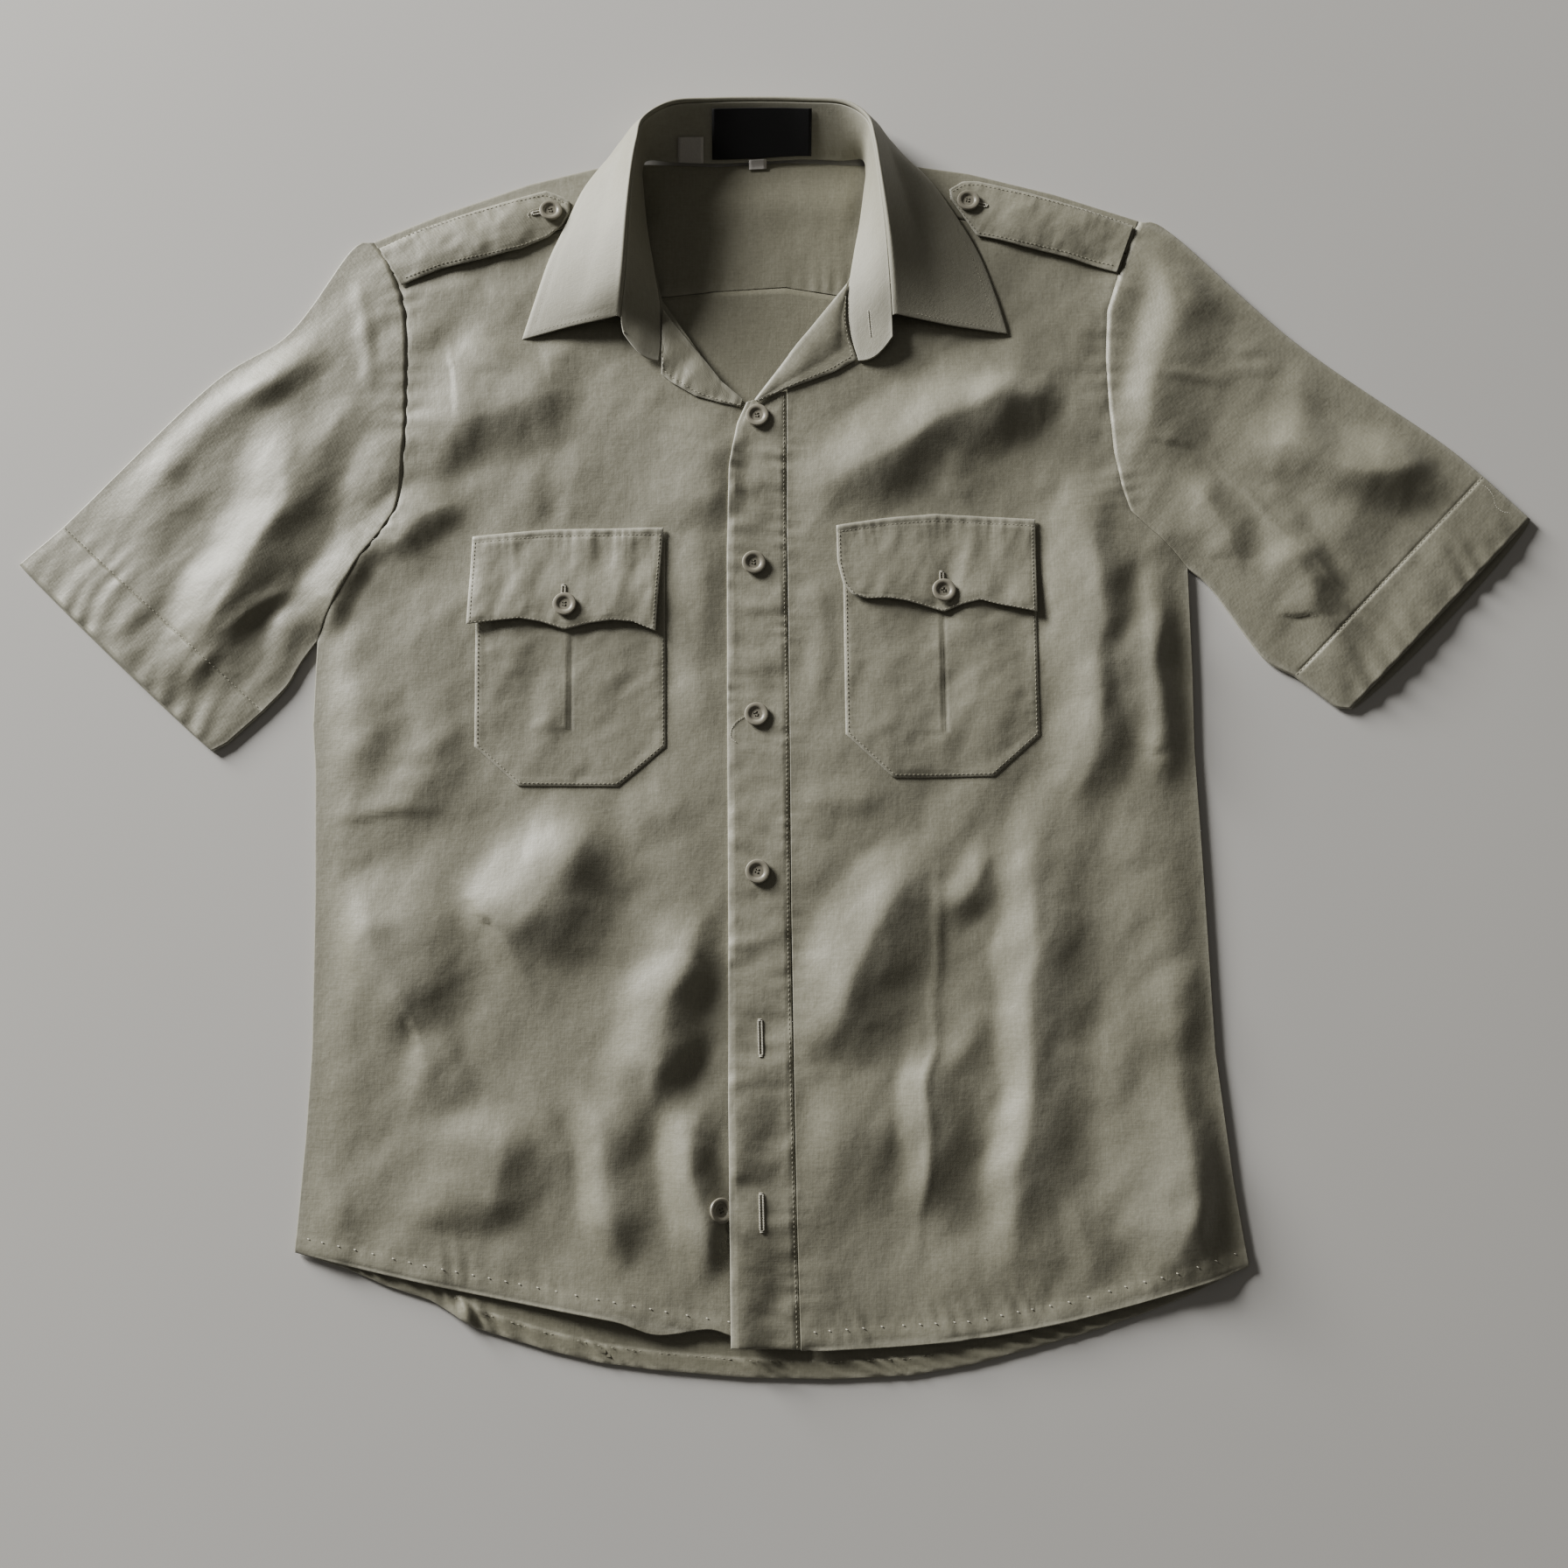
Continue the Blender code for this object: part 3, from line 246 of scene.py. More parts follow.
    Crease(((268, 180), (296, 141), (308, 120), (336, 95), (366, 64), (395, 39)), 0.7, 3, 3),
    Crease(((250, 153), (268, 135), (284, 108), (287, 90), (280, 77)), 3.2, 16, 16),
    Crease(((308, 119), (323, 95), (336, 75), (341, 53), (332, 36)), 3.8, 22, 18),
    Crease(((309, 141), (317, 130), (324, 108)), 1.4, 14, 14),
    Crease(((372, 135), (363, 117), (349, 97)), 1.8, 20, 20),
    Crease(((261, 303), (286, 277), (306, 258)), 1.4, 18, 18),
    Crease(((213, 260), (223, 239), (220, 212)), 1.2, 10, 10),
    Crease(((404, 130), (415, 139), (432, 144)), 1.4, 10, 12),
    Crease(((470, 130), (456, 117), (444, 103)), 1.4, 9, 9),
    Crease(((432, 117), (421, 103), (409, 86)), 0.9, 8, 8),
)
print("folds:", len(CREASES))

# %% [markdown]
# ## How a fold is read
# A fold is only a line, so its height at a point comes from the distance to that line.
# numpy works this out for a whole panel at once.

# %% Distances, easing and soft noise over arrays of points
noise_table = np.random.default_rng(11).random((64, 64)) * 2 - 1


def ease(t):
    t = np.clip(t, 0.0, 1.0)
    return t * t * (3 - 2 * t)


def along(line, t):
    """Points at shares t of a line's length."""
    line = np.asarray(line, float)
    steps = np.linalg.norm(np.diff(line, axis=0), axis=1)
    at = np.concatenate(([0], np.cumsum(steps))) / steps.sum()
    return np.stack([np.interp(t, at, line[:, k]) for k in range(line.shape[1])], axis=-1)


def smooth_line(points, t):
    """A curve through points at t from 0 to the number of points less one."""
    points = np.asarray(points, float)
    padded = np.concatenate((points[:1] * 2 - points[1:2], points, points[-1:] * 2 - points[-2:-1]))
    i = np.clip(np.floor(t).astype(int), 0, len(points) - 2)
    f = (t - i)[:, None]
    a, b, c, d = (padded[i + k] for k in range(4))
    return 0.5 * (2 * b + (c - a) * f + (2 * a - 5 * b + 4 * c - d) * f ** 2
                  + (3 * b - a - 3 * c + d) * f ** 3)


def beside(line, x, y):
    """Distance to a line, share of its length and whether it is the lit side, at every point."""
    best = np.full(np.shape(x), 1e9)
    share = np.zeros(np.shape(x))
    side = np.zeros(np.shape(x))
    line = np.asarray(line, float)
    steps = np.linalg.norm(np.diff(line, axis=0), axis=1)
    start = np.concatenate(([0], np.cumsum(steps)))
    for (ax, ay), (bx, by), begun, step in zip(line, line[1:], start, steps):
        dx, dy = bx - ax, by - ay
        t = np.clip(((x - ax) * dx + (y - ay) * dy) / (dx * dx + dy * dy), 0, 1)
        distance = np.hypot(x - ax - t * dx, y - ay - t * dy)
        nearer = distance < best
        best = np.where(nearer, distance, best)
        share = np.where(nearer, (begun + t * step) / start[-1], share)
        lit = (x - ax - t * dx) * LIT_SIDE[0] + (y - ay - t * dy) * LIT_SIDE[1]
        side = np.where(nearer, lit > 0, side)
    return best, share, side


def soft_noise(x, y, size, turn=0.0, stretch=1.0):
    """Smooth noise from -1 to 1 whose bumps are size wide and stretch times as long."""
    c, s = math.cos(turn), math.sin(turn)
    u = (x * c + y * s) / (size * stretch) + 1000.0
    v = (y * c - x * s) / size + 1000.0
    i, j = np.floor(u).astype(int), np.floor(v).astype(int)
    a, b = ease(u - i), ease(v - j)
    i, j, i1, j1 = i % 64, j % 64, (i + 1) % 64, (j + 1) % 64
    low = noise_table[i, j] * (1 - a) + noise_table[i1, j] * a
    high = noise_table[i, j1] * (1 - a) + noise_table[i1, j1] * a
    return low * (1 - b) + high * b


# %% Height of the top layer
def fold_height(x, y):
    """Height of the placed folds. Their paths wander a little, as hand-laid cloth does."""
    x, y = x + 4.2 * soft_noise(x, y, 26), y + 4.2 * soft_noise(x + 210, y, 26)
    total = np.zeros(np.shape(x))
    for crease in CREASES:
        line = np.array(crease.line)
        margin = max(crease.lit, crease.shade) * SKIRT
        close = (x > line[:, 0].min() - margin) & (x < line[:, 0].max() + margin)
        close &= (y > line[:, 1].min() - margin) & (y < line[:, 1].max() + margin)
        if not np.any(close):
            continue
        distance, share, side = beside(line, x[close], y[close])
        reach = np.where(side > 0, crease.lit, crease.shade) * SKIRT
        bell = np.clip(1 - distance / reach, 0, 1)
        bell = bell * bell * (1 + 1.6 * distance / reach)
        ends = ease(share / 0.34) * ease((1 - share) / 0.34)
        run = np.hypot(*np.diff(line, axis=0).T).sum()
        broad = 0.55 + 0.45 * ease((crease.lit + crease.shade - 14) / 26)
        total[close] += crease.height * DEPTH * broad * min(1.0, (run / 105) ** 0.75) * bell * ends
    return total


def rumple(x, y):
    """Low uneven waves that every part of the cloth has."""
    wide = soft_noise(x, y, 60, 1.0, 1.8) * 1.7 + soft_noise(x + 30, y, 38, 0.7, 1.6) * 0.9
    middle = soft_noise(x + 70, y, 22, 1.2, 2.4) * 0.85 + soft_noise(x, y + 20, 14, 0.6, 2.6) * 0.3
    fine = soft_noise(x + 40, y, 9, 1.0, 2.4) * 0.22 + soft_noise(x, y + 90, 5.5, 2.2, 1.6) * 0.08
    return wide + middle + fine


def edge_rise(x, y, reach=EDGE_REACH):
    nearest = np.full(np.shape(x), 1e9)
    for line in FOLDED_EDGES:
        nearest = np.minimum(nearest, beside(line, x, y)[0])
    return ease(nearest / reach)


def shirt_top(x, y):
    """Top of the cloth that lies on the back."""
    x, y = np.asarray(x, float), np.asarray(y, float)
    loft = LOFT + 0.9 + fold_height(x, y) + rumple(x, y)
    loft = (loft + np.sqrt(loft * loft + 0.3)) / 2
    return FRONT_FLOOR + CLOTH + edge_rise(x, y) * loft


def left_top(x, y):
    """Top of the left front, which rises a layer where it nears the placket."""
    x = np.asarray(x, float)
    return shirt_top(x, y) + LAYER * (1 - ease((x - 15.0) / 110.0)) * (x > 0)


print("top layer at the chest, mm:", float(shirt_top(np.array([-135.0]), np.array([150.0]))[0].round(2)))

# %% [markdown]
# ## Shader arithmetic
# A weave is a pattern worked out from a position. One small class lets the node sums be
# written as ordinary Python, and another makes every other node in one call.

# %% Wires and finishes
class Wire:
    """One output of a shader node."""

    def __init__(self, tree, socket):
        self.tree, self.socket = tree, socket

    def math(self, operation, a, b=None, clamp=False):
        made = self.tree.nodes.new("ShaderNodeMath")
        made.operation, made.use_clamp = operation, clamp
        for place, value in zip(made.inputs, (a, b)):
            if isinstance(value, Wire):
                self.tree.links.new(value.socket, place)
            elif value is not None:
                place.default_value = value
        return Wire(self.tree, made.outputs[0])

    def __add__(self, other):
        return self.math("ADD", self, other)

    def __radd__(self, other):
        return self.math("ADD", other, self)

    def __sub__(self, other):
        return self.math("SUBTRACT", self, other)

    def __rsub__(self, other):
        return self.math("SUBTRACT", other, self)

    def __mul__(self, other):
        return self.math("MULTIPLY", self, other)

    def __rmul__(self, other):
        return self.math("MULTIPLY", other, self)

    def __truediv__(self, other):
        return self.math("DIVIDE", self, other)

    def sine(self):
        return self.math("SINE", self)

    def clamp(self):
        return self.math("ADD", self, 0.0, clamp=True)


class Finish:
    """A material under construction."""

    def __init__(self, name, **constants):
        self.material = bpy.data.materials.new(name)
        self.material.use_nodes = True
        self.tree = self.material.node_tree
        self.shader = self.tree.nodes["Principled BSDF"]
        for socket, value in constants.items():
            self.shader.inputs[socket.replace("_", " ")].default_value = value

    def node(self, kind, settings=None, values=None, output=0):
        made = self.tree.nodes.new(kind)
        for key, value in (settings or {}).items():
            setattr(made, key, value)
        for key, value in (values or {}).items():
            if isinstance(value, Wire):
                self.tree.links.new(value.socket, made.inputs[key])
            else:
                made.inputs[key].default_value = value
        return Wire(self.tree, made.outputs[output])

    def mix(self, factor, first, second):
        settings = {"data_type": "RGBA", "clamp_factor": True}
        return self.node("ShaderNodeMix", settings, {0: factor, 6: first, 7: second}, output=2)

    def scaled(self, vector, sizes):
        values = {0: vector, 1: tuple(1 / s for s in sizes)}
        return self.node("ShaderNodeVectorMath", {"operation": "MULTIPLY"}, values)

    def noise(self, vector, sizes, detail=2.0, rough=0.5):
        values = {"Vector": self.scaled(vector, sizes), "Scale": 1.0, "Detail": detail, "Roughness": rough}
        return self.node("ShaderNodeTexNoise", {"noise_dimensions": "3D"}, values)

    def part(self, vector, index):
        return self.node("ShaderNodeSeparateXYZ", {}, {0: vector}, output=index)

    def bump(self, height_mm):
        values = {"Strength": 1.0, "Distance": MM, "Height": height_mm}
        return self.node("ShaderNodeBump", {}, values)

    def feed(self, **links):
        for socket, wire in links.items():
            self.tree.links.new(wire.socket, self.shader.inputs[socket.replace("_", " ")])
        return self.material


# %% [markdown]
# ## The twill
# Khaki drill has a warp of slightly uneven yarns with fine diagonal ribs. From table
# distance the ribs melt into a grain, and what shows is faint streaking along both yarns,
# wide soft patches from washing, and paler cloth on every edge that rubs. The tallest fold
# ridges of the fronts get the same pale tone as a painted highlight.

# %% Khaki twill
TONE_DEEP = (0.235, 0.225, 0.165, 1)
TONE_MAIN = (0.325, 0.315, 0.245, 1)
TONE_PALE = (0.47, 0.46, 0.385, 1)
RIB_PITCH = 0.9


def twill(name, main=TONE_MAIN, deep=TONE_DEEP, wrinkle=1.0, roughness=0.5):
    made = Finish(name, Sheen_Weight=0.1, Sheen_Roughness=0.4, Specular_IOR_Level=0.7)
    uv = made.node("ShaderNodeUVMap", {"uv_map": "cloth"})
    u, v = made.part(uv, 0), made.part(uv, 1)
    rib = ((u + v * 0.8) * (2 * math.pi / (RIB_PITCH * MM))).sine()
    warp = made.noise(uv, (0.9 * MM, 14 * MM, 1), 3.0, 0.6)
    weft = made.noise(uv, (11 * MM, 1.1 * MM, 1), 3.0, 0.6)
    patches = made.noise(uv, (60 * MM, 45 * MM, 1), 3.0, 0.55)
    grain = made.noise(uv, (2.2 * MM, 2.2 * MM, 1), 4.0, 0.7)
    wear_and_highlight = made.node("ShaderNodeAttribute", {"attribute_name": "wear_and_highlight"}, output=2)
    depth = ((warp + weft) * 1.0 + grain * 1.5 + patches * 0.9 - 1.85).clamp()
    cloth = made.mix(depth, deep, main)
    # Pale tone where the cloth is worn, and painted highlight where the fold ridges are marked.
    wear_and_highlight_mix = (wear_and_highlight * (0.5 + grain)).clamp()
    colour = made.mix(wear_and_highlight_mix, cloth, TONE_PALE)
    crumple = made.noise(uv, (7 * MM, 9 * MM, 1), 2.0, 0.5) * (0.3 * wrinkle)
    crumple = crumple + made.noise(uv, (20 * MM, 30 * MM, 1), 1.0, 0.5) * (0.5 * wrinkle)
    relief = rib * 0.012 + (warp + weft) * 0.05 + grain * 0.12 + crumple
    rough = made.part(uv, 2) * 0.0 + roughness + (grain - 0.5) * 0.12
    return made.feed(Base_Color=colour, Roughness=rough, Normal=made.bump(relief))


BODY_TWILL = twill("khaki twill")
PRESSED_TWILL = twill("pressed khaki twill", (0.36, 0.35, 0.28, 1), (0.28, 0.27, 0.205, 1), 0.3, 0.62)
INNER_TWILL = twill("inner khaki twill", (0.30, 0.288, 0.215, 1), (0.215, 0.205, 0.145, 1), 0.8)
print("twills:", BODY_TWILL.name, PRESSED_TWILL.name, INNER_TWILL.name)

# %% Thread, buttons, label and tape
def thread_finish(name, dark, light):
    made = Finish(name, Roughness=0.7, Sheen_Weight=0.2)
    place = made.node("ShaderNodeTexCoord", output=3)
    tone = made.noise(place, (1.2 * MM, 1.2 * MM, 1.2 * MM), 2.0)
    return made.feed(Base_Color=made.mix(tone, dark, light))


def button_finish():
    made = Finish("mottled button", Specular_IOR_Level=0.5, Coat_Roughness=0.25)
    place = made.node("ShaderNodeTexCoord", output=3)
    cloud = made.noise(place, (5 * MM, 5 * MM, 5 * MM), 3.0, 0.6)
    speck = made.noise(place, (0.8 * MM, 0.8 * MM, 0.8 * MM), 2.0, 0.7)
    colour = made.mix(cloud * 0.7 + speck * 0.4, (0.17, 0.155, 0.115, 1), (0.36, 0.34, 0.275, 1))
    return made.feed(
        Base_Color=colour, Roughness=speck * 0.25 + 0.22, Normal=made.bump(speck * 0.03),
    )


def label_finish(name, dark, light, rough):
    made = Finish(name, Sheen_Weight=0.1, Specular_IOR_Level=0.3)
    uv = made.node("ShaderNodeUVMap", {"uv_map": "cloth"})
    across = (made.part(uv, 0) * (2 * math.pi / (0.6 * MM))).sine()
    along_yarn = (made.part(uv, 1) * (2 * math.pi / (0.8 * MM))).sine()
    grain = made.noise(uv, (1.5 * MM, 0.8 * MM, 1), 3.0, 0.6)
    colour = made.mix(grain, dark, light)
    relief = across * along_yarn * 0.03 + grain * 0.05
    return made.feed(Base_Color=colour, Roughness=grain * 0.2 + rough, Normal=made.bump(relief))


THREAD = thread_finish("khaki thread", (0.24, 0.23, 0.165, 1), (0.44, 0.42, 0.33, 1))
PALE_THREAD = thread_finish("pale thread", (0.46, 0.44, 0.36, 1), (0.66, 0.64, 0.55, 1))
BUTTON = button_finish()
LABEL_BLACK = label_finish("black label", (0.004, 0.004, 0.005, 1), (0.016, 0.016, 0.018, 1), 0.55)
TAPE_WHITE = label_finish("white tape", (0.42, 0.40, 0.37, 1), (0.62, 0.60, 0.57, 1), 0.75)

# %% [markdown]
# ## One way to make a piece of cloth
# Each piece is a grid that is bent to its place, then given a thickness with Solidify. Its
# UV map is in metres of cloth, so the weave keeps its size, and a point attribute says
# where the cloth is worn and where a highlight is painted.

# %% Make a cloth piece from a grid of points
made_pieces = {}


def knots(length, step, lip=0.5):
    """Even steps along a length, with one short step at each end for a crisp edge."""
    count = max(int(round((length - 2 * lip) / step)), 1)
    return np.concatenate(([0], np.linspace(lip, length - lip, count + 1), [length])) / length


def cloth_uv(points):
    """Distances along the grid's lines, in metres."""
    across = np.linalg.norm(np.diff(points, axis=1), axis=2)
    down = np.linalg.norm(np.diff(points, axis=0), axis=2)
    u = np.concatenate((np.zeros((points.shape[0], 1)), np.cumsum(across, axis=1)), axis=1)
    v = np.concatenate((np.zeros((1, points.shape[1])), np.cumsum(down, axis=0)), axis=0)
    return np.stack((u, v), axis=-1) * MM


def own(piece, node=None, slot="cloth"):
    """Puts a piece on the shirt's body, in place of its solid."""
    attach(piece, "root")
    if node:
        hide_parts(*((node,) if isinstance(node, str) else node))
    made_pieces[piece.name] = piece
    return piece


def cloth(name, points, node=None, finish=BODY_TWILL, thick=SHELL, ring=False, wear_and_highlight=None,
          uv=None, offset=-1.0, slot="cloth", up=True):
    """A shell of cloth through a grid of points in the drawing's millimetres."""
    rows, columns = points.shape[:2]
    bm = bmesh.new()
    layer = bm.loops.layers.uv.new("cloth")
    bmesh.ops.create_grid(bm, x_segments=columns - 1, y_segments=rows - 1, size=0.5)
    bm.verts.ensure_lookup_table()
    flat = np.array([v.co[:2] for v in bm.verts]) + 0.5
    column = np.rint(flat[:, 0] * (columns - 1)).astype(int)
    row = np.rint(flat[:, 1] * (rows - 1)).astype(int)
    place = (points + OFFSET)[row, column] * MM
    uv = cloth_uv(points) if uv is None else uv
    wear_and_highlight_grid = np.zeros((rows, columns)) if wear_and_highlight is None else wear_and_highlight
    mark = bm.verts.layers.float.new("wear_and_highlight")
    for vertex, where, r, c in zip(bm.verts, place, row, column):
        vertex.co = where
        vertex[mark] = float(wear_and_highlight_grid[r, c])
    for face in bm.faces:
        for loop in face.loops:
            k = loop.vert.index
            loop[layer].uv = uv[row[k], column[k]]
    bm.normal_update()
    if ring:
        bmesh.ops.remove_doubles(bm, verts=bm.verts, dist=1e-6)
        bmesh.ops.recalc_face_normals(bm, faces=bm.faces)
    if up and sum(f.normal.z * f.calc_area() for f in bm.faces) < 0:
        bmesh.ops.reverse_faces(bm, faces=bm.faces)
    mesh = bpy.data.meshes.new(name)
    bm.to_mesh(mesh)
    bm.free()
    mesh.shade_smooth()
    mesh.materials.append(finish)
    piece = bpy.data.objects.new(name, mesh)
    bpy.context.scene.collection.objects.link(piece)
    wall = piece.modifiers.new("cloth", "SOLIDIFY")
    wall.thickness, wall.offset = thick * MM, offset
    print(name, "faces:", len(mesh.polygons))
    return own(piece, node, slot)


# %% Patches between four lines
def patch(top, bottom, left, right, u, v):
    """A flat grid between four boundary lines that meet at their ends."""
    up_line, low_line = along(top, u)[None], along(bottom, u)[None]
    left_line, right_line = along(left, v)[:, None], along(right, v)[:, None]
    u, v = u[None, :, None], v[:, None, None]
    corner = [np.asarray(p, float) for p in (top[0], top[-1], bottom[0], bottom[-1])]
    flat = (corner[0] * (1 - u) * (1 - v) + corner[1] * u * (1 - v)
            + corner[2] * (1 - u) * v + corner[3] * u * v)
    return up_line * (1 - v) + low_line * v + left_line * (1 - u) + right_line * u - flat


def lifted(flat, height):
    return np.concatenate((flat, height[..., None]), axis=-1)


def inside(outline, x, y):
    """True where points lie inside a closed outline."""
    hit = np.zeros(np.shape(x), bool)
    for (ax, ay), (bx, by) in zip(outline, outline[1:] + outline[:1]):
        if ay != by:
            crosses = ((ay > y) != (by > y)) & (x < (bx - ax) * (y - ay) / (by - ay) + ax)
            hit ^= crosses
    return hit


def puckers(distance, share, length, wave, depth, reach):
    """Small gathers that a row of stitches draws up beside it."""
    s = share * length
    wobble = soft_noise(s, s * 0 + 3.0, wave * 1.9) * 3.4
    swell = np.clip(0.6 + 0.8 * soft_noise(s, s * 0 + 11.0, wave * 1.7), 0.05, 1.4)
    return depth * swell * np.sin(2 * math.pi * s / wave + wobble) * np.exp(-distance / reach)


# %% [markdown]
# ## Stitches
# A stitch is a short raised thread that sinks at both ends. One low sphere, stretched and
# turned along the seam, is enough at this size, and a whole seam is one mesh.

# %% Rows of stitches
stitch_meshes = {}


def stitch_bed(name):
    if name not in stitch_meshes:
        stitch_meshes[name] = bmesh.new()
    return stitch_meshes[name]


def lay_stitch(bm, start, end, width, height):
    start, end = Vector(start), Vector(end)
    way = (end - start).normalized()
    side = way.cross(Vector((0, 0, 1))).normalized()
    up = side.cross(way)
    turn = Matrix((side, way, up)).transposed().to_4x4()
    size = Matrix.Diagonal((width / 2, (end - start).length / 2, height / 2, 1))
    place = Matrix.Translation((start + end) / 2)
    bmesh.ops.create_icosphere(bm, subdivisions=1, radius=1, matrix=place @ turn @ size)


def seam(name, line, top, pitch=3.0, length=2.3, width=0.55, sink=0.0):
    """Stitches along a line on a surface."""
    line = np.asarray(line, float)
    total = np.linalg.norm(np.diff(line[:, :2], axis=0), axis=1).sum()
    count = max(int(total / pitch), 1)
    middle = (np.arange(count) + 0.5) / count
    reach = length / 2 / total
    a, b = along(line, middle - reach), along(line, middle + reach)
    if line.shape[1] == 2:
        a = lifted(a, top(a[:, 0], a[:, 1]) + 0.22 - sink)
        b = lifted(b, top(b[:, 0], b[:, 1]) + 0.22 - sink)
    bm = stitch_bed(name)
    for p, q in zip((a + OFFSET) * MM, (b + OFFSET) * MM):
        lay_stitch(bm, p, q, width * MM, 0.4 * MM)
    return count


def slit(name, middle, way, length, top):
    """A worked buttonhole: close stitches down both sides of a slit, with a bar at each end."""
    way = np.array(way, float) / np.hypot(*way)
    side = np.array((-way[1], way[0]))
    bm = stitch_bed(name.replace("stitches", "buttonholes"))
    for s in np.arange(-length / 2, length / 2 + 0.01, 0.75):
        for hand in (-1, 1):
            a = np.array(middle) + way * s + side * hand * 0.35
            b = a + side * hand * 1.35
            ends = np.array((a, b))
            z = top(ends[:, 0], ends[:, 1]) + 0.45
            p, q = (np.column_stack((ends, z)) + OFFSET) * MM
            lay_stitch(bm, p, q, 0.85 * MM, 1.0 * MM)
    for end in (-1, 1):
        for k in (-0.4, 0.4):
            a = np.array(middle) + way * end * (length / 2 + 0.6 + k) - side * 1.6
            ends = np.array((a, a + side * 3.2))
            z = top(ends[:, 0], ends[:, 1]) + 0.4
            p, q = (np.column_stack((ends, z)) + OFFSET) * MM
            lay_stitch(bm, p, q, 0.85 * MM, 0.9 * MM)


# %% [markdown]
# ## Back and yoke
# The back is one panel flat on the floor. Only its curved hem and the strip inside the
# neck show, so the grid is fine there and coarse in between. Its hem is turned once, which
# makes a band one layer higher with slanting puckers. The yoke folds over both shoulders.

# %% Back panel
def back_points():
    u = knots(560, 2.6)
    hem = along(BACK_HEM, u)
    rows_near_hem = [0, 0.5, 2, 4, 6, 8, 9.5, 10.5, 11.2, 12, 14, 17, 21, 26, 32]
    left_side = along(((-245, 273.6), *ARMHOLE_RIGHT[3:], *SIDE_RIGHT[1:]), np.linspace(0, 1, 60))
    right_side = along(((217.7, 273.6), *ARMHOLE_LEFT[3:], *SIDE_LEFT[1:]), np.linspace(0, 1, 60))
    seam_line = along(((-245, 273.6), (-200, 274.6), (-110, 276.6), (-75, 272.6), (-40, 276.6),
                       (5, 279.6), (40, 273.6), (120, 274.6), (217.7, 273.6)), u)
    v = np.concatenate((np.linspace(0, 0.05, 9)[:-1], np.linspace(0.05, 0.93, 50)))
    top = np.asarray(seam_line)
    flat = patch(top, hem[:, :2], left_side, right_side, u, np.concatenate((v, [1.0])))[:-1]
    last = flat[-1]
    reach = np.linalg.norm(hem - last, axis=1)[:, None]
    extra = [hem + (last - hem) / reach * d for d in rows_near_hem[::-1]]
    return u, np.concatenate((flat, np.array(extra)))


def make_back():
    u, flat = back_points()
    x, y = flat[..., 0], flat[..., 1]
    distance, share, side = beside(BACK_HEM, x, y)
    band = 1 - ease((distance - 9.6) / 1.6)
    slanted = puckers(np.abs(distance - 6), share + distance / 400, 600, 15, 1.25, 10) * (0.5 + 0.5 * band)
    z = CLOTH - 0.1 + band * 0.6 + slanted * ease(distance / 2) * (distance < 60)
    curl = np.exp(-((x + 181) / 7) ** 2 - ((y + 365) / 7) ** 2)
    z = z + 3.2 * curl
    z = z + soft_noise(x, y, 30, 0.5, 2) * 0.1
    z = z - 0.45 * (1 - ease(distance / 0.8))
    wear_and_highlight = 0.5 * np.exp(-distance / 1.5) + 0.2 * np.exp(-np.abs(distance - 10.6) / 1.0)
    return cloth("back_panel", lifted(flat, z), "back", INNER_TWILL, 0.75, wear_and_highlight=wear_and_highlight,
                 uv=np.stack((x, y), -1) * MM)


back_panel = make_back()
hem_line = np.array(BACK_HEM, float) + (0, 9.6)
seam("back_stitches", hem_line[1:-1], lambda x, y: np.full(np.shape(x), CLOTH + 0.2), 4.0, 2.4, 0.5)


# %% Yoke
YOKE_BACK = ((-245, 274), (-200, 275), (-150, 277), (-110, 277), (-75, 273), (-40, 277),
             (5, 280), (40, 274), (75, 275), (120, 275), (165, 275), (217.8, 274))
YOKE_SHOULDER = ((-265, 311), (-223, 330), (-165, 352), (-120, 364), (-91, 368), (-40, 366),
                 (5, 369), (58, 367), (93, 365), (126, 360), (182, 345), (237, 326))


def yoke_wave(x, y):
    return (np.exp(-((y - 338) / 14) ** 2) * 1.6 + 0.8 * np.exp(-((x + 52) / 14) ** 2)
            + soft_noise(x, y, 16, 1.4, 2.0) * 0.5
            + puckers(np.abs(y - 280), x / 200, 200, 11, 0.55, 9)) * ease((y - 274) / 5) * ease((366 - y) / 9)


def make_yoke():
    u = knots(500, 2.6)
    v = knots(94, 2.6)
    flat = patch(YOKE_BACK, YOKE_SHOULDER, (YOKE_BACK[0], YOKE_SHOULDER[0]),
                 (YOKE_BACK[-1], YOKE_SHOULDER[-1]), u, v)
    x, y = flat[..., 0], flat[..., 1]
    inside_neck = ease((x + 88) / 12) * ease((56 - x) / 12)
    z = CLOTH + inside_neck * np.maximum(yoke_wave(x, y), -0.3)
    wear_and_highlight = 0.3 * np.exp(-np.abs(y - 275) / 2.0)
    return cloth("yoke_inside", lifted(flat, z), "yoke", INNER_TWILL, 0.75, wear_and_highlight=wear_and_highlight,
                 uv=np.stack((x, y), -1) * MM)


def shoulder_piece(name, front, shoulder):
    """The part of the yoke that comes over a shoulder to the seam under the strap."""
    u = knots(190, 2.6)
    fold = np.linspace(0, 1, 7)
    rows = []
    top, low = along(shoulder, u), along(front, u)
    span = low - top
    for t in fold[:-1]:
        angle = math.pi * t
        out = -span / np.linalg.norm(span, axis=1)[:, None] * math.sin(angle) * 0.7
        z = 1.35 - math.cos(angle) * 1.35
        rows.append(lifted(top + out, np.full(len(u), z)))
    for t in np.linspace(0, 1, 16):
        flat = top + span * (0.02 + 0.98 * t)
        z = shirt_top(flat[:, 0], flat[:, 1])
        rows.append(lifted(flat, z))
    points = np.array(rows)
    return cloth(name, points, finish=BODY_TWILL, thick=0.7,
                 uv=points[..., :2] * MM, up=True)


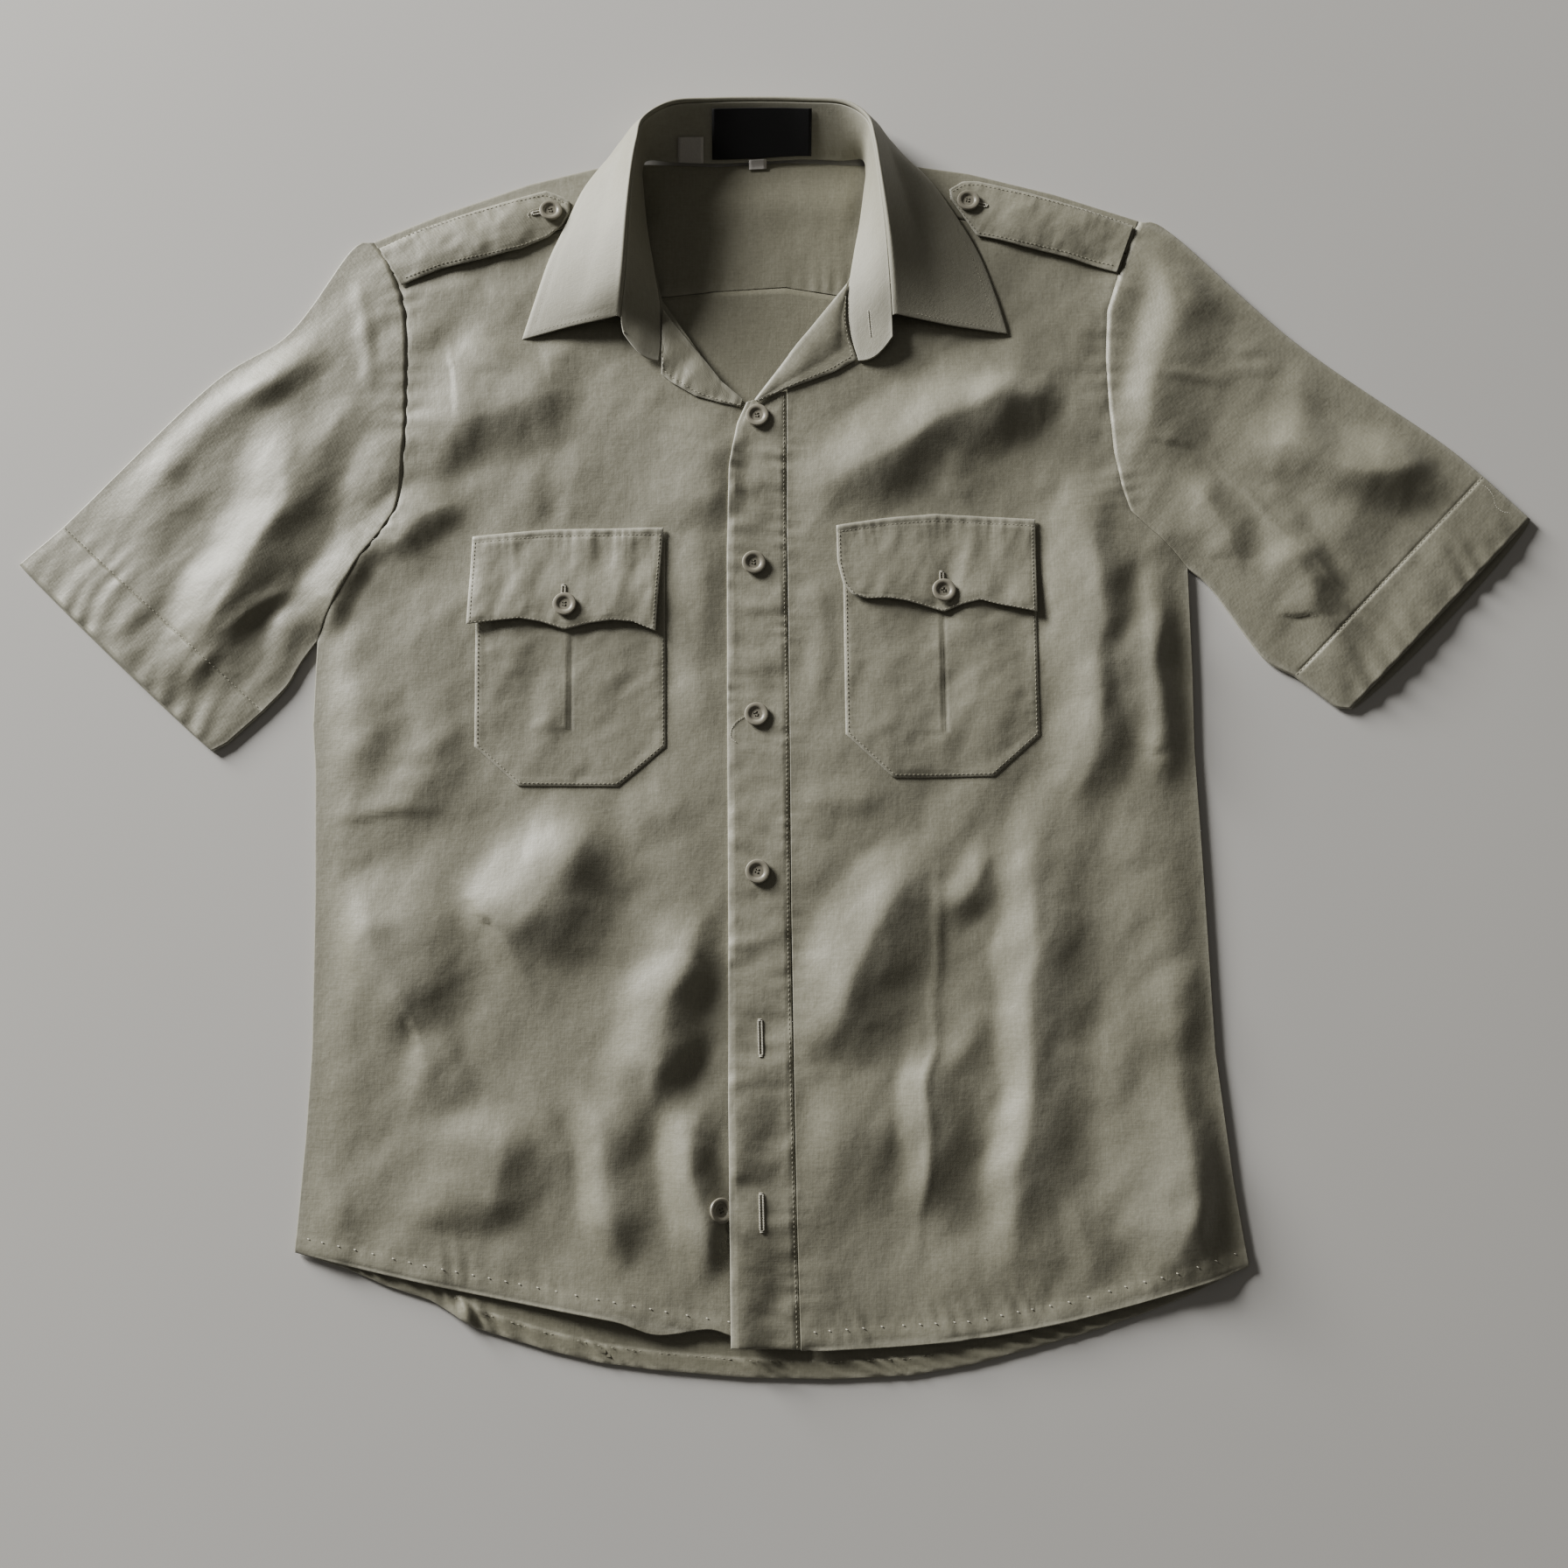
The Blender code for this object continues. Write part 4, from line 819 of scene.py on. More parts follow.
yoke_inside = make_yoke()
yoke_right = shoulder_piece(
    "yoke_right_shoulder",
    ((-250.9, 288.3), (-205, 301.4), (-150, 317.3), (-112, 328.2), (-91, 334.2)),
    ((-265, 311), (-223, 330), (-165, 352), (-120, 364), (-91, 368)),
)
yoke_left = shoulder_piece(
    "yoke_left_shoulder",
    ((62, 340.2), (90, 333.8), (120, 327), (170, 315.4), (227.7, 302.4)),
    ((58, 367), (93, 365), (126, 360), (182, 345), (237, 326)),
)

# %% [markdown]
# ## Fronts
# Each front is one grid from the yoke seam to the hem. Rows follow the drawing's rows, so
# the grid's sides lie on the armhole, the side seam and the closure.

# %% Fronts
def row_grid(rows, step):
    table = np.array(rows, float)
    gaps = np.maximum(np.hypot(*np.diff(table[:, :2], axis=0).T), np.hypot(*np.diff(table[:, 2:4], axis=0).T))
    v = [0.0, 0.12]
    for k, gap in enumerate(gaps):
        count = max(int(round(gap / step)), 1)
        v += list(k + np.arange(1, count + 1) / count)
    v = v[:-1] + [v[-1] - 0.008, v[-1]]
    v = np.array(sorted(set(v)))
    columns = [np.interp(v, np.arange(len(table)), table[:, k])[:, None] for k in range(5)]
    u = knots(280, step)[None]
    x = columns[0] * (1 - u) + columns[2] * u
    y = columns[1] * (1 - u) + columns[3] * u - columns[4] * 4 * u * (1 - u)
    return x, y


FRONT_HEM_RIGHT = ((-282, -330), (-208, -346), (-134, -360), (-60, -373), (13, -384))
FRONT_HEM_LEFT = ((13.7, -384.5), (60, -381), (112, -378), (171, -367), (229, -352), (275.5, -338))


PLACKET_LEFT = ((-20, 198), (-26, 184), (-31, 154), (-32, 98), (-31, -21), (-29.5, -150),
                (-29, -237), (-27.5, -320), (-26.5, -383))
PLACKET_RIGHT = ((5.6, 205), (5.6, 150), (5.8, 73), (7.1, 2), (8.1, -150), (9.6, -237),
                 (11.6, -320), (13.4, -384))
POCKET_AREAS = (
    ((-190, 108), (-187, -28), (-159, -53), (-98, -53), (-69, -28), (-72, 110)),
    ((41, 112), (42, -21), (71, -48), (133, -47), (162, -21), (162, 116)),
)


def under_trim(x, y, placket_side):
    """How far a front dips where a pocket or the placket lies on it."""
    dip = 0.8 * ease((x + 27) / 5) * placket_side
    for outline in POCKET_AREAS:
        edge = beside(outline + outline[:1], x, y)[0]
        dip = np.maximum(dip, 0.8 * ease((edge - 1) / 5) * inside(outline, x, y))
    return dip


def hem_pricks(line, inset):
    """Places of the hand stitches along a hem, unevenly spaced."""
    line = np.array(line, float) + (0, inset)
    total = np.linalg.norm(np.diff(line, axis=0), axis=1).sum()
    steps = 10.5 + 2.5 * noise_table[5, :48]
    at = np.cumsum(steps)
    return along(line, at[at < total - 4] / total)


def prick_dents(x, y):
    dent = np.zeros(np.shape(x))
    for px, py in PRICKS:
        dent = dent + 0.5 * np.exp(-((x - px) ** 2 + (y - py) ** 2) / 5.0)
    return dent


PRICKS = np.concatenate((hem_pricks(FRONT_HEM_RIGHT, 9.3), hem_pricks(FRONT_HEM_LEFT, 9.6)))


def front_detail(x, y, hem, armhole, closure_x):
    """Gathers by the seams, the turned hem, and what edges do to the height."""
    hem_distance, hem_share, side = beside(hem, x, y)
    arm_distance, arm_share, side = beside(armhole, x, y)
    slant = hem_share + hem_distance / 900
    uneven = 0.55 + 0.45 * soft_noise(x, y * 0, 27)
    z = puckers(np.abs(hem_distance - 9), slant, 290, 11, 0.62, 11) * ease(hem_distance / 5) * uneven
    z = z + puckers(hem_distance, slant + 0.3, 290, 5.2, 0.12, 5)
    z = z + 0.5 * (1 - ease((hem_distance - 8) / 4)) - 0.8 * (1 - ease(hem_distance / 1.6)) ** 2
    z = z + puckers(arm_distance, arm_share, 290, 15, 0.4, 12) * ease(arm_distance / 3)
    z = z - 0.35 * np.exp(-arm_distance / 1.3)
    closure, closure_share, side = beside(PLACKET_RIGHT, x, y)
    if closure_x > 0:
        z = z + puckers(closure, closure_share, 590, 11, 0.35, 9) + 0.4 * np.exp(-closure / 6)
    z = z - prick_dents(x, y)
    wear_and_highlight = 0.45 * np.exp(-hem_distance / 1.4) + 0.12 * np.exp(-arm_distance / 1.4)
    return z - under_trim(x, y, closure_x < 0), wear_and_highlight


def make_front(name, node, rows, top, hem, armhole, closure_x):
    x, y = row_grid(rows, 2.8)
    if closure_x < 0:
        fall = np.exp(-beside(hem, x, y)[0] / 22)
        y = y - 4.2 * np.exp(-((x + 72) / 15) ** 2) * fall + 4 * np.exp(-((x + 37) / 13) ** 2) * fall
    z, wear_and_highlight = front_detail(x, y, hem, armhole, closure_x)
    points = np.stack((x, y, top(x, y) + z), -1)
    side = np.minimum(beside(SIDE_RIGHT, x, y)[0], beside(SIDE_LEFT, x, y)[0])
    # Painted highlight: the tallest fold ridges are given a paler colour.
    ridge_highlight = np.clip(fold_height(x, y) - 3.2, 0, 3) * 0.05
    wear_and_highlight = wear_and_highlight + 0.35 * np.exp(-side / 1.6) + ridge_highlight
    return cloth(name, points, node, wear_and_highlight=wear_and_highlight, uv=points[..., :2] * MM)


front_right = make_front("front_right_panel", "front_right", FRONT_RIGHT_ROWS, shirt_top,
                         FRONT_HEM_RIGHT, ARMHOLE_RIGHT, -300)
front_left = make_front("front_left_panel", "front_left", FRONT_LEFT_ROWS, left_top,
                        FRONT_HEM_LEFT, ARMHOLE_LEFT, 7)

# %% [markdown]
# ## Sleeves
# A sleeve is a flat tube. Its grid runs round the tube: along the underlayer, round the
# lower fold, back over the top layer and round the upper fold. A deep turned hem ends in a
# row of stitches, and the cuff's edge is slightly gathered.

# %% Sleeves
HEM_RIGHT = ((-453, 115), (-320, -5))
HEM_LEFT = ((450, 149), (323, 18))


def make_sleeve(name, node, armhole, top, under, hem, shift, low_cuff):
    cuff = (top[-1], under[-1])
    u = knots(300, 2.6, 0.8)
    upper_v = np.append(np.linspace(0, 1 - 3.4 / 190, 68), 1 - np.array((2.2, 1.4, 0.7, 0)) / 190)
    cuff_v = np.append(np.array((0.7, 1.4, 2.2, 3.4)) / 38, np.linspace(6 / 38, 1, 13))
    turn_at = under.index(hem[1])
    above = smooth_line(top[:5], np.linspace(0, 4, 33))
    below = smooth_line(under[:turn_at + 1], np.linspace(0, turn_at, 33))
    body = patch(np.array(armhole, float) + shift, hem, above, below, u, upper_v)
    low_part = patch(hem, cuff, top[4:], under[turn_at:], u, cuff_v)
    flat = np.concatenate((body, low_part))
    v = np.linspace(0, 1, len(flat))
    x, y = flat[..., 0], flat[..., 1]
    distance, share, side = beside(hem, x, y)
    cuff_distance, cuff_share = beside(cuff, x, y)[:2]
    arm_distance, arm_share = beside(armhole, x, y)[:2]
    folded = (np.arange(len(flat)) >= len(upper_v))[:, None] * 2.0 - 1
    z = shirt_top(x, y)
    z = z + 0.5 * ease(folded * distance / 2.5 + 0.5) * edge_rise(x, y, 6)
    z = z - 0.75 * np.exp(-(distance / 0.9) ** 2) * edge_rise(x, y, 6)
    z = z + puckers(distance, share, 180, 15, 0.3, 9) * edge_rise(x, y, 12)
    z = z + puckers(cuff_distance, cuff_share + cuff_distance / 420, 180, 19, 0.55, 15) * edge_rise(x, y, 14)
    z = z + puckers(arm_distance, arm_share, 290, 15, 0.35, 12) * edge_rise(x, y, 12)
    z = z + 0.3 * np.exp(-arm_distance / 7) * edge_rise(x, y, 6) - 0.35 * np.exp(-arm_distance / 0.6)
    z = np.maximum(z, CLOTH * 2 + 0.1)
    near_cuff = np.clip((v - 0.8) / 0.2, 0, 1)[:, None, None] ** 3
    spread = near_cuff * np.array(low_cuff, float) * (np.sin(u * math.pi)[None, :, None] ** 0.5)
    low = lifted(flat + spread, np.zeros(x.shape))
    upper = lifted(flat, z)
    turn = (CLOTH + GAP + CLOTH) / 2
    edge_low = (flat[:, -1:] - flat[:, -2:-1])
    edge_low = flat[:, -1:] + edge_low / np.linalg.norm(edge_low, axis=-1, keepdims=True) * 0.8
    edge_up = (flat[:, :1] - flat[:, 1:2])
    edge_up = flat[:, :1] + edge_up / np.linalg.norm(edge_up, axis=-1, keepdims=True) * 0.8
    fold_low = lifted(edge_low, np.full(edge_low.shape[:2], turn))
    fold_up = lifted(edge_up, np.full(edge_up.shape[:2], turn))
    points = np.concatenate((low, fold_low, upper[:, ::-1], fold_up, low[:, :1]), axis=1)
    rub = 0.45 * np.exp(-cuff_distance / 1.4) + 0.25 * np.exp(-distance / 1.2)
    rub = rub + 0.3 * (1 - edge_rise(x, y, 4))
    wear_and_highlight = np.concatenate((rub, rub[:, -1:], rub[:, ::-1], rub[:, :1], rub[:, :1]), axis=1)
    turned = points[..., :2] @ np.array(((0.72, 0.69), (-0.69, 0.72))) * MM
    return cloth(name, points, node, ring=True, wear_and_highlight=wear_and_highlight, uv=turned, up=False)


sleeve_right = make_sleeve("sleeve_right_tube", "sleeve_right", ARMHOLE_RIGHT, SLEEVE_TOP_RIGHT,
                           SLEEVE_UNDER_RIGHT, HEM_RIGHT, (-0.4, 0.0), (-1.0, -1.5))
sleeve_left = make_sleeve("sleeve_left_tube", "sleeve_left", ARMHOLE_LEFT, SLEEVE_TOP_LEFT,
                          SLEEVE_UNDER_LEFT, HEM_LEFT, (0.4, 0.2), (4.5, -4.0))
for hem in (HEM_RIGHT, HEM_LEFT):
    seam("sleeve_stitches", hem, shirt_top, 3.0, 2.2, 0.5, sink=0.15)

# %% [markdown]
# ## Placket, pockets and flaps
# These are doubled pieces of cloth sewn on top, so they end in a rounded fold with a row of
# stitches just inside it. The stitches draw the cloth down and gather it slightly.

# %% Placket band
def placket_lift(x, y):
    down = ease((-195.0 - y) / 60.0)
    return RESTING_GAP + 3.4 * down * (1 - ease((x + 24) / 27.0))


def placket_top(x, y):
    x, y = np.asarray(x, float), np.asarray(y, float)
    left, share, side = beside(PLACKET_LEFT, x, y)
    right = beside(PLACKET_RIGHT, x, y)[0]
    wave = soft_noise(x, y, 13, 0.16, 2.8) * 0.95 + soft_noise(x, y, 6.5, -0.12, 3.4) * 0.42 + 0.5
    z = shirt_top(x, y) + placket_lift(x, y) + CLOTH - 0.1
    z = z + wave * ease(left / 4) * ease(right / 3)
    z = z + puckers(left, share, 590, 14, 0.3, 7) + puckers(right, share, 590, 11, 0.35, 6)
    z = z - 0.35 * np.exp(-((left - 2.2) / 0.7) ** 2) - 0.35 * np.exp(-((right - 2.0) / 0.7) ** 2)
    return z - 0.5 * (1 - ease(left / 0.9)) - 0.55 * (1 - ease(right / 0.9))


def make_placket():
    u, v = knots(38, 1.5), knots(590, 1.6)
    flat = patch((PLACKET_LEFT[0], PLACKET_RIGHT[0]), (PLACKET_LEFT[-1], PLACKET_RIGHT[-1]),
                 PLACKET_LEFT, PLACKET_RIGHT, u, v)
    x, y = flat[..., 0], flat[..., 1]
    z = placket_top(x, y) - 0.4 * (1 - ease((1 - v[:, None]) * 590 / 1.0))
    left, right = beside(PLACKET_LEFT, x, y)[0], beside(PLACKET_RIGHT, x, y)[0]
    wear_and_highlight = 0.8 * np.exp(-left / 1.0) + 0.5 * np.exp(-right / 0.9)
    return cloth("placket_band", lifted(flat, z), "placket", wear_and_highlight=wear_and_highlight, thick=1.3,
                 uv=np.stack((x, y), -1) * MM)


placket = make_placket()
inner_edge = np.array(PLACKET_RIGHT, float) - (1.7, 0)
seam("placket_stitches", inner_edge, placket_top, 2.8, 2.1, 0.5)
for middle_x, middle_y in ((-10, -206), (-9, -307)):
    slit("placket_stitches", (middle_x, middle_y), (0.03, -1), 20, placket_top)

# %% Pockets
PocketLines = namedtuple("PocketLines", "top bottom left right pleat flap")
POCKET_RIGHT = PocketLines(
    ((-190, 104), (-71, 104)), ((-187, -28), (-159, -53), (-98, -53), (-69, -28)),
    ((-190, 104), (-187, -28)), ((-71, 104), (-69, -28)), (-129.5, 46, -18), 50,
)
POCKET_LEFT = PocketLines(
    ((41, 105), (162, 105)), ((42, -21), (71, -48), (133, -47), (162, -21)),
    ((41, 105), (42, -21)), ((162, 105), (162, -21)), (103, 58, -20), 62,
)


def pocket_top(lines, carrier):
    outline = lines.left + lines.bottom[1:] + lines.right[::-1][1:]

    def top(x, y):
        x, y = np.asarray(x, float), np.asarray(y, float)
        edge, share, side = beside(outline, x, y)
        pleat_x, pleat_high, pleat_low = lines.pleat
        on = ease((y - pleat_low) / 2) * ease((pleat_high + 6 - y) / 2)
        line = pleat_x + soft_noise(y, y * 0, 40) * 0.5
        step = on * (0.6 * ease((line - x) / 0.8 + 0.5) * np.exp(-np.abs(x - line) / 14)
                     - 0.5 * np.exp(-((x - line - 0.7) / 0.9) ** 2))
        own_waves = soft_noise(x, y, 15, 1.35, 2.6) * 0.75 + soft_noise(x, y, 7, 0.6, 2) * 0.22
        z = carrier(x, y) + RESTING_GAP + POCKET_CLOTH - 0.1
        open_part = 1 - 0.8 * ease((y - lines.flap) / 12)
        z = z + step + own_waves * ease(edge / 7) * open_part
        z = z + puckers(edge, share, 390, 8, 0.14, 5) * ease(edge / 1.5)
        z = z - 0.22 * np.exp(-((edge - 1.9) / 0.7) ** 2) * (edge > 0.4)
        return z - 0.75 * (1 - ease(edge / 0.9))

    return top, outline


def make_pocket(name, node, lines, carrier):
    u, v = knots(120, 1.6), knots(155, 1.6)
    flat = patch(lines.top, lines.bottom, lines.left, lines.right, u, v)
    x, y = flat[..., 0], flat[..., 1]
    top, outline = pocket_top(lines, carrier)
    z = top(x, y)
    edge = beside(outline, x, y)[0]
    pleat = np.exp(-np.abs(x - lines.pleat[0] - 2.6) / 0.8) * (y > lines.pleat[2]) * 0.25
    wear_and_highlight = 0.75 * np.exp(-edge / 0.9) + pleat
    inset = np.array(outline, float)
    middle = inset.mean(axis=0)
    inset = middle + (inset - middle) * (1 - 1.9 / 62)
    seam("pocket_stitches", inset, top, 2.7, 1.9, 0.45)
    return cloth(name, lifted(flat, z), node, wear_and_highlight=wear_and_highlight, thick=0.8, uv=np.stack((x, y), -1) * MM)


pocket_right = make_pocket("pocket_right_patch", "pocket_right", POCKET_RIGHT, shirt_top)
pocket_left = make_pocket("pocket_left_patch", "pocket_left", POCKET_LEFT, left_top)

# %% Flaps
FlapLines = namedtuple("FlapLines", "top bottom left right button")
FLAP_RIGHT = FlapLines(
    ((-193, 108), (-143, 112.5), (-72, 113)),
    ((-194, 49), (-180, 51), (-161, 53), (-148, 51), (-133, 46), (-118, 50), (-103, 52),
     (-90, 51), (-76, 45)),
    ((-193, 108), (-194, 49)), ((-72, 113), (-76, 45)), (-133, 62),
)
FLAP_LEFT = FlapLines(
    ((37, 114), (68, 119), (100, 122), (163, 119)),
    ((47, 68), (56, 65.5), (68, 66), (80, 64.5), (93, 61), (104, 57.5), (115, 62), (127, 65), (138, 62),
     (150, 59.5), (162, 57)),
    ((37, 114), (37.5, 90), (41, 75), (47, 68)), ((163, 119), (162, 57)), (104, 71),
)


def flap_top(lines, carrier):
    outline = lines.left + lines.bottom[1:] + lines.right[::-1][1:]

    def top(x, y):
        x, y = np.asarray(x, float), np.asarray(y, float)
        edge, share, side = beside(outline, x, y)
        head, head_share = beside(lines.top, x, y)[:2]
        button = np.hypot(x - lines.button[0], y - lines.button[1])
        spring = 1.9 * ease(head / 60) ** 2 * (0.45 + 0.55 * ease((button - 5) / 22))
        own_waves = soft_noise(x, y, 12, 1.45, 2.4) * 0.8 + soft_noise(x, y, 6, 1.2, 2) * 0.25
        z = carrier(x, y) + 2 * RESTING_GAP + POCKET_CLOTH + CLOTH + spring - 0.1
        z = z + own_waves * ease(edge / 6) * ease(head / 8)
        z = z + puckers(head, head_share, 125, 7, 0.3, 9) * ease(head / 3)
        z = z + puckers(edge, share, 240, 8, 0.16, 5) * ease(edge / 1.5)
        z = z - 0.25 * np.exp(-((edge - 2.0) / 0.7) ** 2) - 0.35 * np.exp(-((head - 4.6) / 0.8) ** 2)
        z = z - 0.6 * (1 - ease(edge / 0.9)) - 0.7 * (1 - ease(head / 1.0))
        return z

    return top, outline


def make_flap(name, node, lines, carrier):
    u, v = knots(122, 1.5), knots(62, 1.4)
    flat = patch(lines.top, lines.bottom, lines.left, lines.right, u, v)
    x, y = flat[..., 0], flat[..., 1]
    top, outline = flap_top(lines, carrier)
    edge, head = beside(outline, x, y)[0], beside(lines.top, x, y)[0]
    wear_and_highlight = 0.85 * np.exp(-edge / 0.9) + 0.6 * np.exp(-head / 1.2) + 0.25 * np.exp(-np.abs(head - 4) / 1.2)
    inset = np.array(outline, float)
    middle = inset.mean(axis=0)
    inset = middle + (inset - middle) * np.array((1 - 2.0 / 60, 1 - 2.2 / 30))
    seam("flap_stitches", inset, top, 2.6, 1.9, 0.45)
    seam("flap_stitches", np.array(lines.top, float) - (0, 4.6), top, 2.6, 1.9, 0.45, sink=0.1)
    hole = (lines.button[0] - 1.0, lines.button[1] + 6)
    slit("flap_stitches", hole, (0, 1), 12, top)
    made = cloth(name, lifted(flat, top(x, y)), node, wear_and_highlight=wear_and_highlight, thick=1.1,
                 uv=np.stack((x, y), -1) * MM)
    return made, top


flap_right, flap_right_top = make_flap("flap_right_patch", "flap_right", FLAP_RIGHT, shirt_top)
flap_left, flap_left_top = make_flap("flap_left_patch", "flap_left", FLAP_LEFT, left_top)

# %% [markdown]
# ## Shoulder straps
# Each strap is sewn into the armhole, lies over the shoulder and is held by one button near
# the collar. Between its ends it stands off the shoulder and shades it.

# %% Straps
STRAP_RIGHT = (
    ((-261, 306), (-245, 279)), ((-235, 319), (-220, 290)), ((-205, 330), (-192, 297)),
    ((-175, 340), (-168, 304)), ((-153, 347), (-150, 313)), ((-143, 343), (-141, 322)),
    ((-137, 339), (-137, 331)),
)
STRAP_LEFT = (
    ((233.5, 322), (221, 288)), ((200, 334), (190, 298)), ((165, 345), (157, 306.5)),
    ((132, 354), (130, 314)), ((122, 354), (122, 327)), ((113, 348), (113.5, 341)),
)


def strap_top(ends):
    high, low = [pair[0] for pair in ends], [pair[1] for pair in ends]
    outline = tuple(high) + tuple(low[::-1])
    spine = [((a[0] + b[0]) / 2, (a[1] + b[1]) / 2) for a, b in ends]

    def top(x, y):
        x, y = np.asarray(x, float), np.asarray(y, float)
        edge, share, side = beside(outline, x, y)
        run = beside(spine, x, y)[1]
        bow = 2.4 * np.sin(np.pi * np.clip(run, 0, 1)) * (0.6 + 0.4 * ease(edge / 12))
        waves = soft_noise(x, y, 12, -0.9, 2.2) * 0.75 + soft_noise(x, y, 6, 0.9, 1.8) * 0.3
        z = shirt_top(x, y) + 0.5 + 1.4 + bow + waves * ease(edge / 5)
        z = z + puckers(edge, share, 280, 9, 0.25, 6) * ease(edge / 2)
        z = z - 0.25 * np.exp(-((edge - 2.2) / 0.8) ** 2)
        return z - 0.7 * (1 - ease(edge / 0.9))

    return top, outline


def make_strap(name, node, ends):
    u, v = knots(36, 1.5), knots(122, 1.6)
    top, outline = strap_top(ends)
    high, low = [pair[0] for pair in ends], [pair[1] for pair in ends]
    flat = patch(high, low, ends[0], ends[-1], v, u)
    x, y = flat[..., 0], flat[..., 1]
    edge = beside(outline, x, y)[0]
    for rail in (high, low):
        rail = np.array(rail, float)
        middle = np.array(outline, float).mean(axis=0)
        inset = rail + (middle - rail) * np.array((0.03, 0.12))
        seam("strap_stitches", inset, top, 2.8, 2.0, 0.45)
    made = cloth(name, lifted(flat, top(x, y)), node, wear_and_highlight=0.75 * np.exp(-edge / 1.0), thick=1.2,
                 uv=cloth_uv(lifted(flat, x * 0)))
    return made, top


strap_right, strap_right_top = make_strap("strap_right_band", "strap_right", STRAP_RIGHT)
strap_left, strap_left_top = make_strap("strap_left_band", "strap_left", STRAP_LEFT)
slit("strap_stitches", (-156, 330), (1, 0.3), 9, strap_right_top)
slit("strap_stitches", (132, 336), (1, -0.3), 9, strap_left_top)

# %% [markdown]
# ## Facings
# Where the collar is open, each front folds back on itself and shows its inner side, with
# an overlocked edge turned under.

# %% Facings
FACING_LEFT = (
    ((45, 279), (44, 268)), ((38, 270), (44, 252)), ((29, 258), (47, 238)), ((20, 246), (51, 226)),
    ((12, 236), (36, 217)), ((5, 226), (18, 210)), ((-3, 215), (6, 205.5)), ((-15, 198.5), (-13, 197)),
)
FACING_RIGHT = (
    ((-74.5, 262), (-75, 230)), ((-68, 253), (-75, 217)), ((-56, 238), (-68, 211)),
    ((-45, 224), (-53, 202)), ((-36, 212), (-37, 197.5)), ((-22.5, 200), (-24, 195)),
)


def make_facing(name, node, pairs, base, lift, roll):
    u, v = knots(30, 1.3, 0.4), knots(110, 1.6)
    rolls = [p[0] for p in pairs]
    edges = [p[1] for p in pairs]
    flat = patch(rolls, edges, pairs[0], pairs[-1], v, u)
    x, y = flat[..., 0], flat[..., 1]
    across = u[:, None] + x * 0
    width = np.linalg.norm(flat[0] - flat[-1], axis=-1)[None]
    edge = (1 - across) * width
    bow = roll * np.sin(np.pi * np.minimum(across * 1.5, 1)) * width / 40
    z = base(x, y) + lift + bow - 0.5 * (1 - ease(across * width / 1.5)) - 0.5 * (1 - ease(edge / 1.0))
    z = z + soft_noise(x, y, 11, 0.9, 2) * 0.6 * ease(across * width / 4) * ease(edge / 4)
    z = z + puckers(edge, v[None] + x * 0, 110, 13, 0.3, 7) * ease(edge / 2)
    wear_and_highlight = 0.7 * np.exp(-edge / 1.1) + 0.8 * np.exp(-across * width / 1.2)
    points = lifted(flat, z)
    row = int(len(u) - 4)
    line = points[row]
    seam("facing_stitches", line + (0, 0, 0.1), None, 2.8, 2.0, 0.45)
    return cloth(name, points, node, wear_and_highlight=wear_and_highlight, thick=0.9, uv=cloth_uv(points))


def left_base(x, y):
    return left_top(np.maximum(x, 1.0), y)


facing_left = make_facing("facing_left_turn", "facing_left", FACING_LEFT, left_base, 1.9, 1.6)
facing_right = make_facing("facing_right_turn", "facing_right", FACING_RIGHT, shirt_top, 1.5, 0.8)

# %% [markdown]
# ## Collar
# The collar stands up round the neck in one stiff sweep: the stand rises from the seam to
# a crest, and the leaf turns over there and comes down to its pointed ends. A smooth curve
# through the drawing's stations gives both, row by row.

# %% Stations of the collar, from the right point round the neck to the left point
COLLAR = np.array((
    ((-76, 240, 6.2), (-103, 253, 15.5), (-134, 248, 10.5), (-165, 241, 5.8)),
    ((-77, 264, 5.8), (-100.5, 272, 24), (-128, 267, 13.5), (-157.5, 268, 5.8)),
    ((-81, 289, 5.6), (-98.5, 293, 29), (-121, 292, 17), (-149, 297, 5.8)),
    ((-86, 318, 5.4), (-96.5, 320, 33.5), (-114, 320, 19), (-138.5, 322, 5.8)),
    ((-89, 345, 5.2), (-94, 347, 35), (-107, 347, 19), (-127.5, 347, 6.4)),
    ((-90, 362, 4.8), (-91, 367, 34.5), (-101, 370, 18), (-112, 369, 6.4)),
    ((-86, 369.5, 4.0), (-87, 383, 32.5), (-95, 388, 14), (-99, 386, 3.4)),
    ((-70, 369, 2.6), (-69, 398, 27), (-73, 404, 10), (-70, 388, 1.1)),
    ((-42, 368, 2.4), (-42, 402.5, 23), (-42, 409, 8), (-42, 384, 1.0)),
    ((-15, 369, 2.4), (-15, 404, 21.5), (-15, 411, 7), (-15, 384, 1.0)),
    ((15, 371, 2.4), (15, 403.5, 21.5), (15, 410.5, 7), (15, 385, 1.0)),
    ((41, 370, 2.6), (43, 399.5, 25), (46, 406, 10), (43, 388, 1.2)),
    ((56, 370, 4.0), (58, 386, 30), (65, 391, 13), (68, 388, 3.2)),
    ((58.5, 360, 5.4), (62.5, 368, 33.5), (72, 371, 18), (84, 370, 6.4)),
    ((57, 345, 6.4), (65.5, 347, 34.5), (78, 349, 19), (101, 351, 7.2)),
    ((54, 322, 7.0), (69, 322, 33), (86, 323, 19), (119, 323, 6.8)),
    ((50, 300, 7.4), (72, 300, 29), (95, 299, 17), (132, 298, 6.6)),
    ((46, 272, 7.8), (74.5, 275, 22.5), (103, 272, 13.5), (142, 269, 6.2)),
    ((47, 246, 8.0), (76, 254, 16), (111, 248.5, 11), (148.5, 245, 6.0)),
), float)
STAND_END_RIGHT = ((-77, 226, 6.6), (-101.5, 244, 13.5))
STAND_END_LEFT = ((52, 225, 8.6), (76, 241, 14.5))


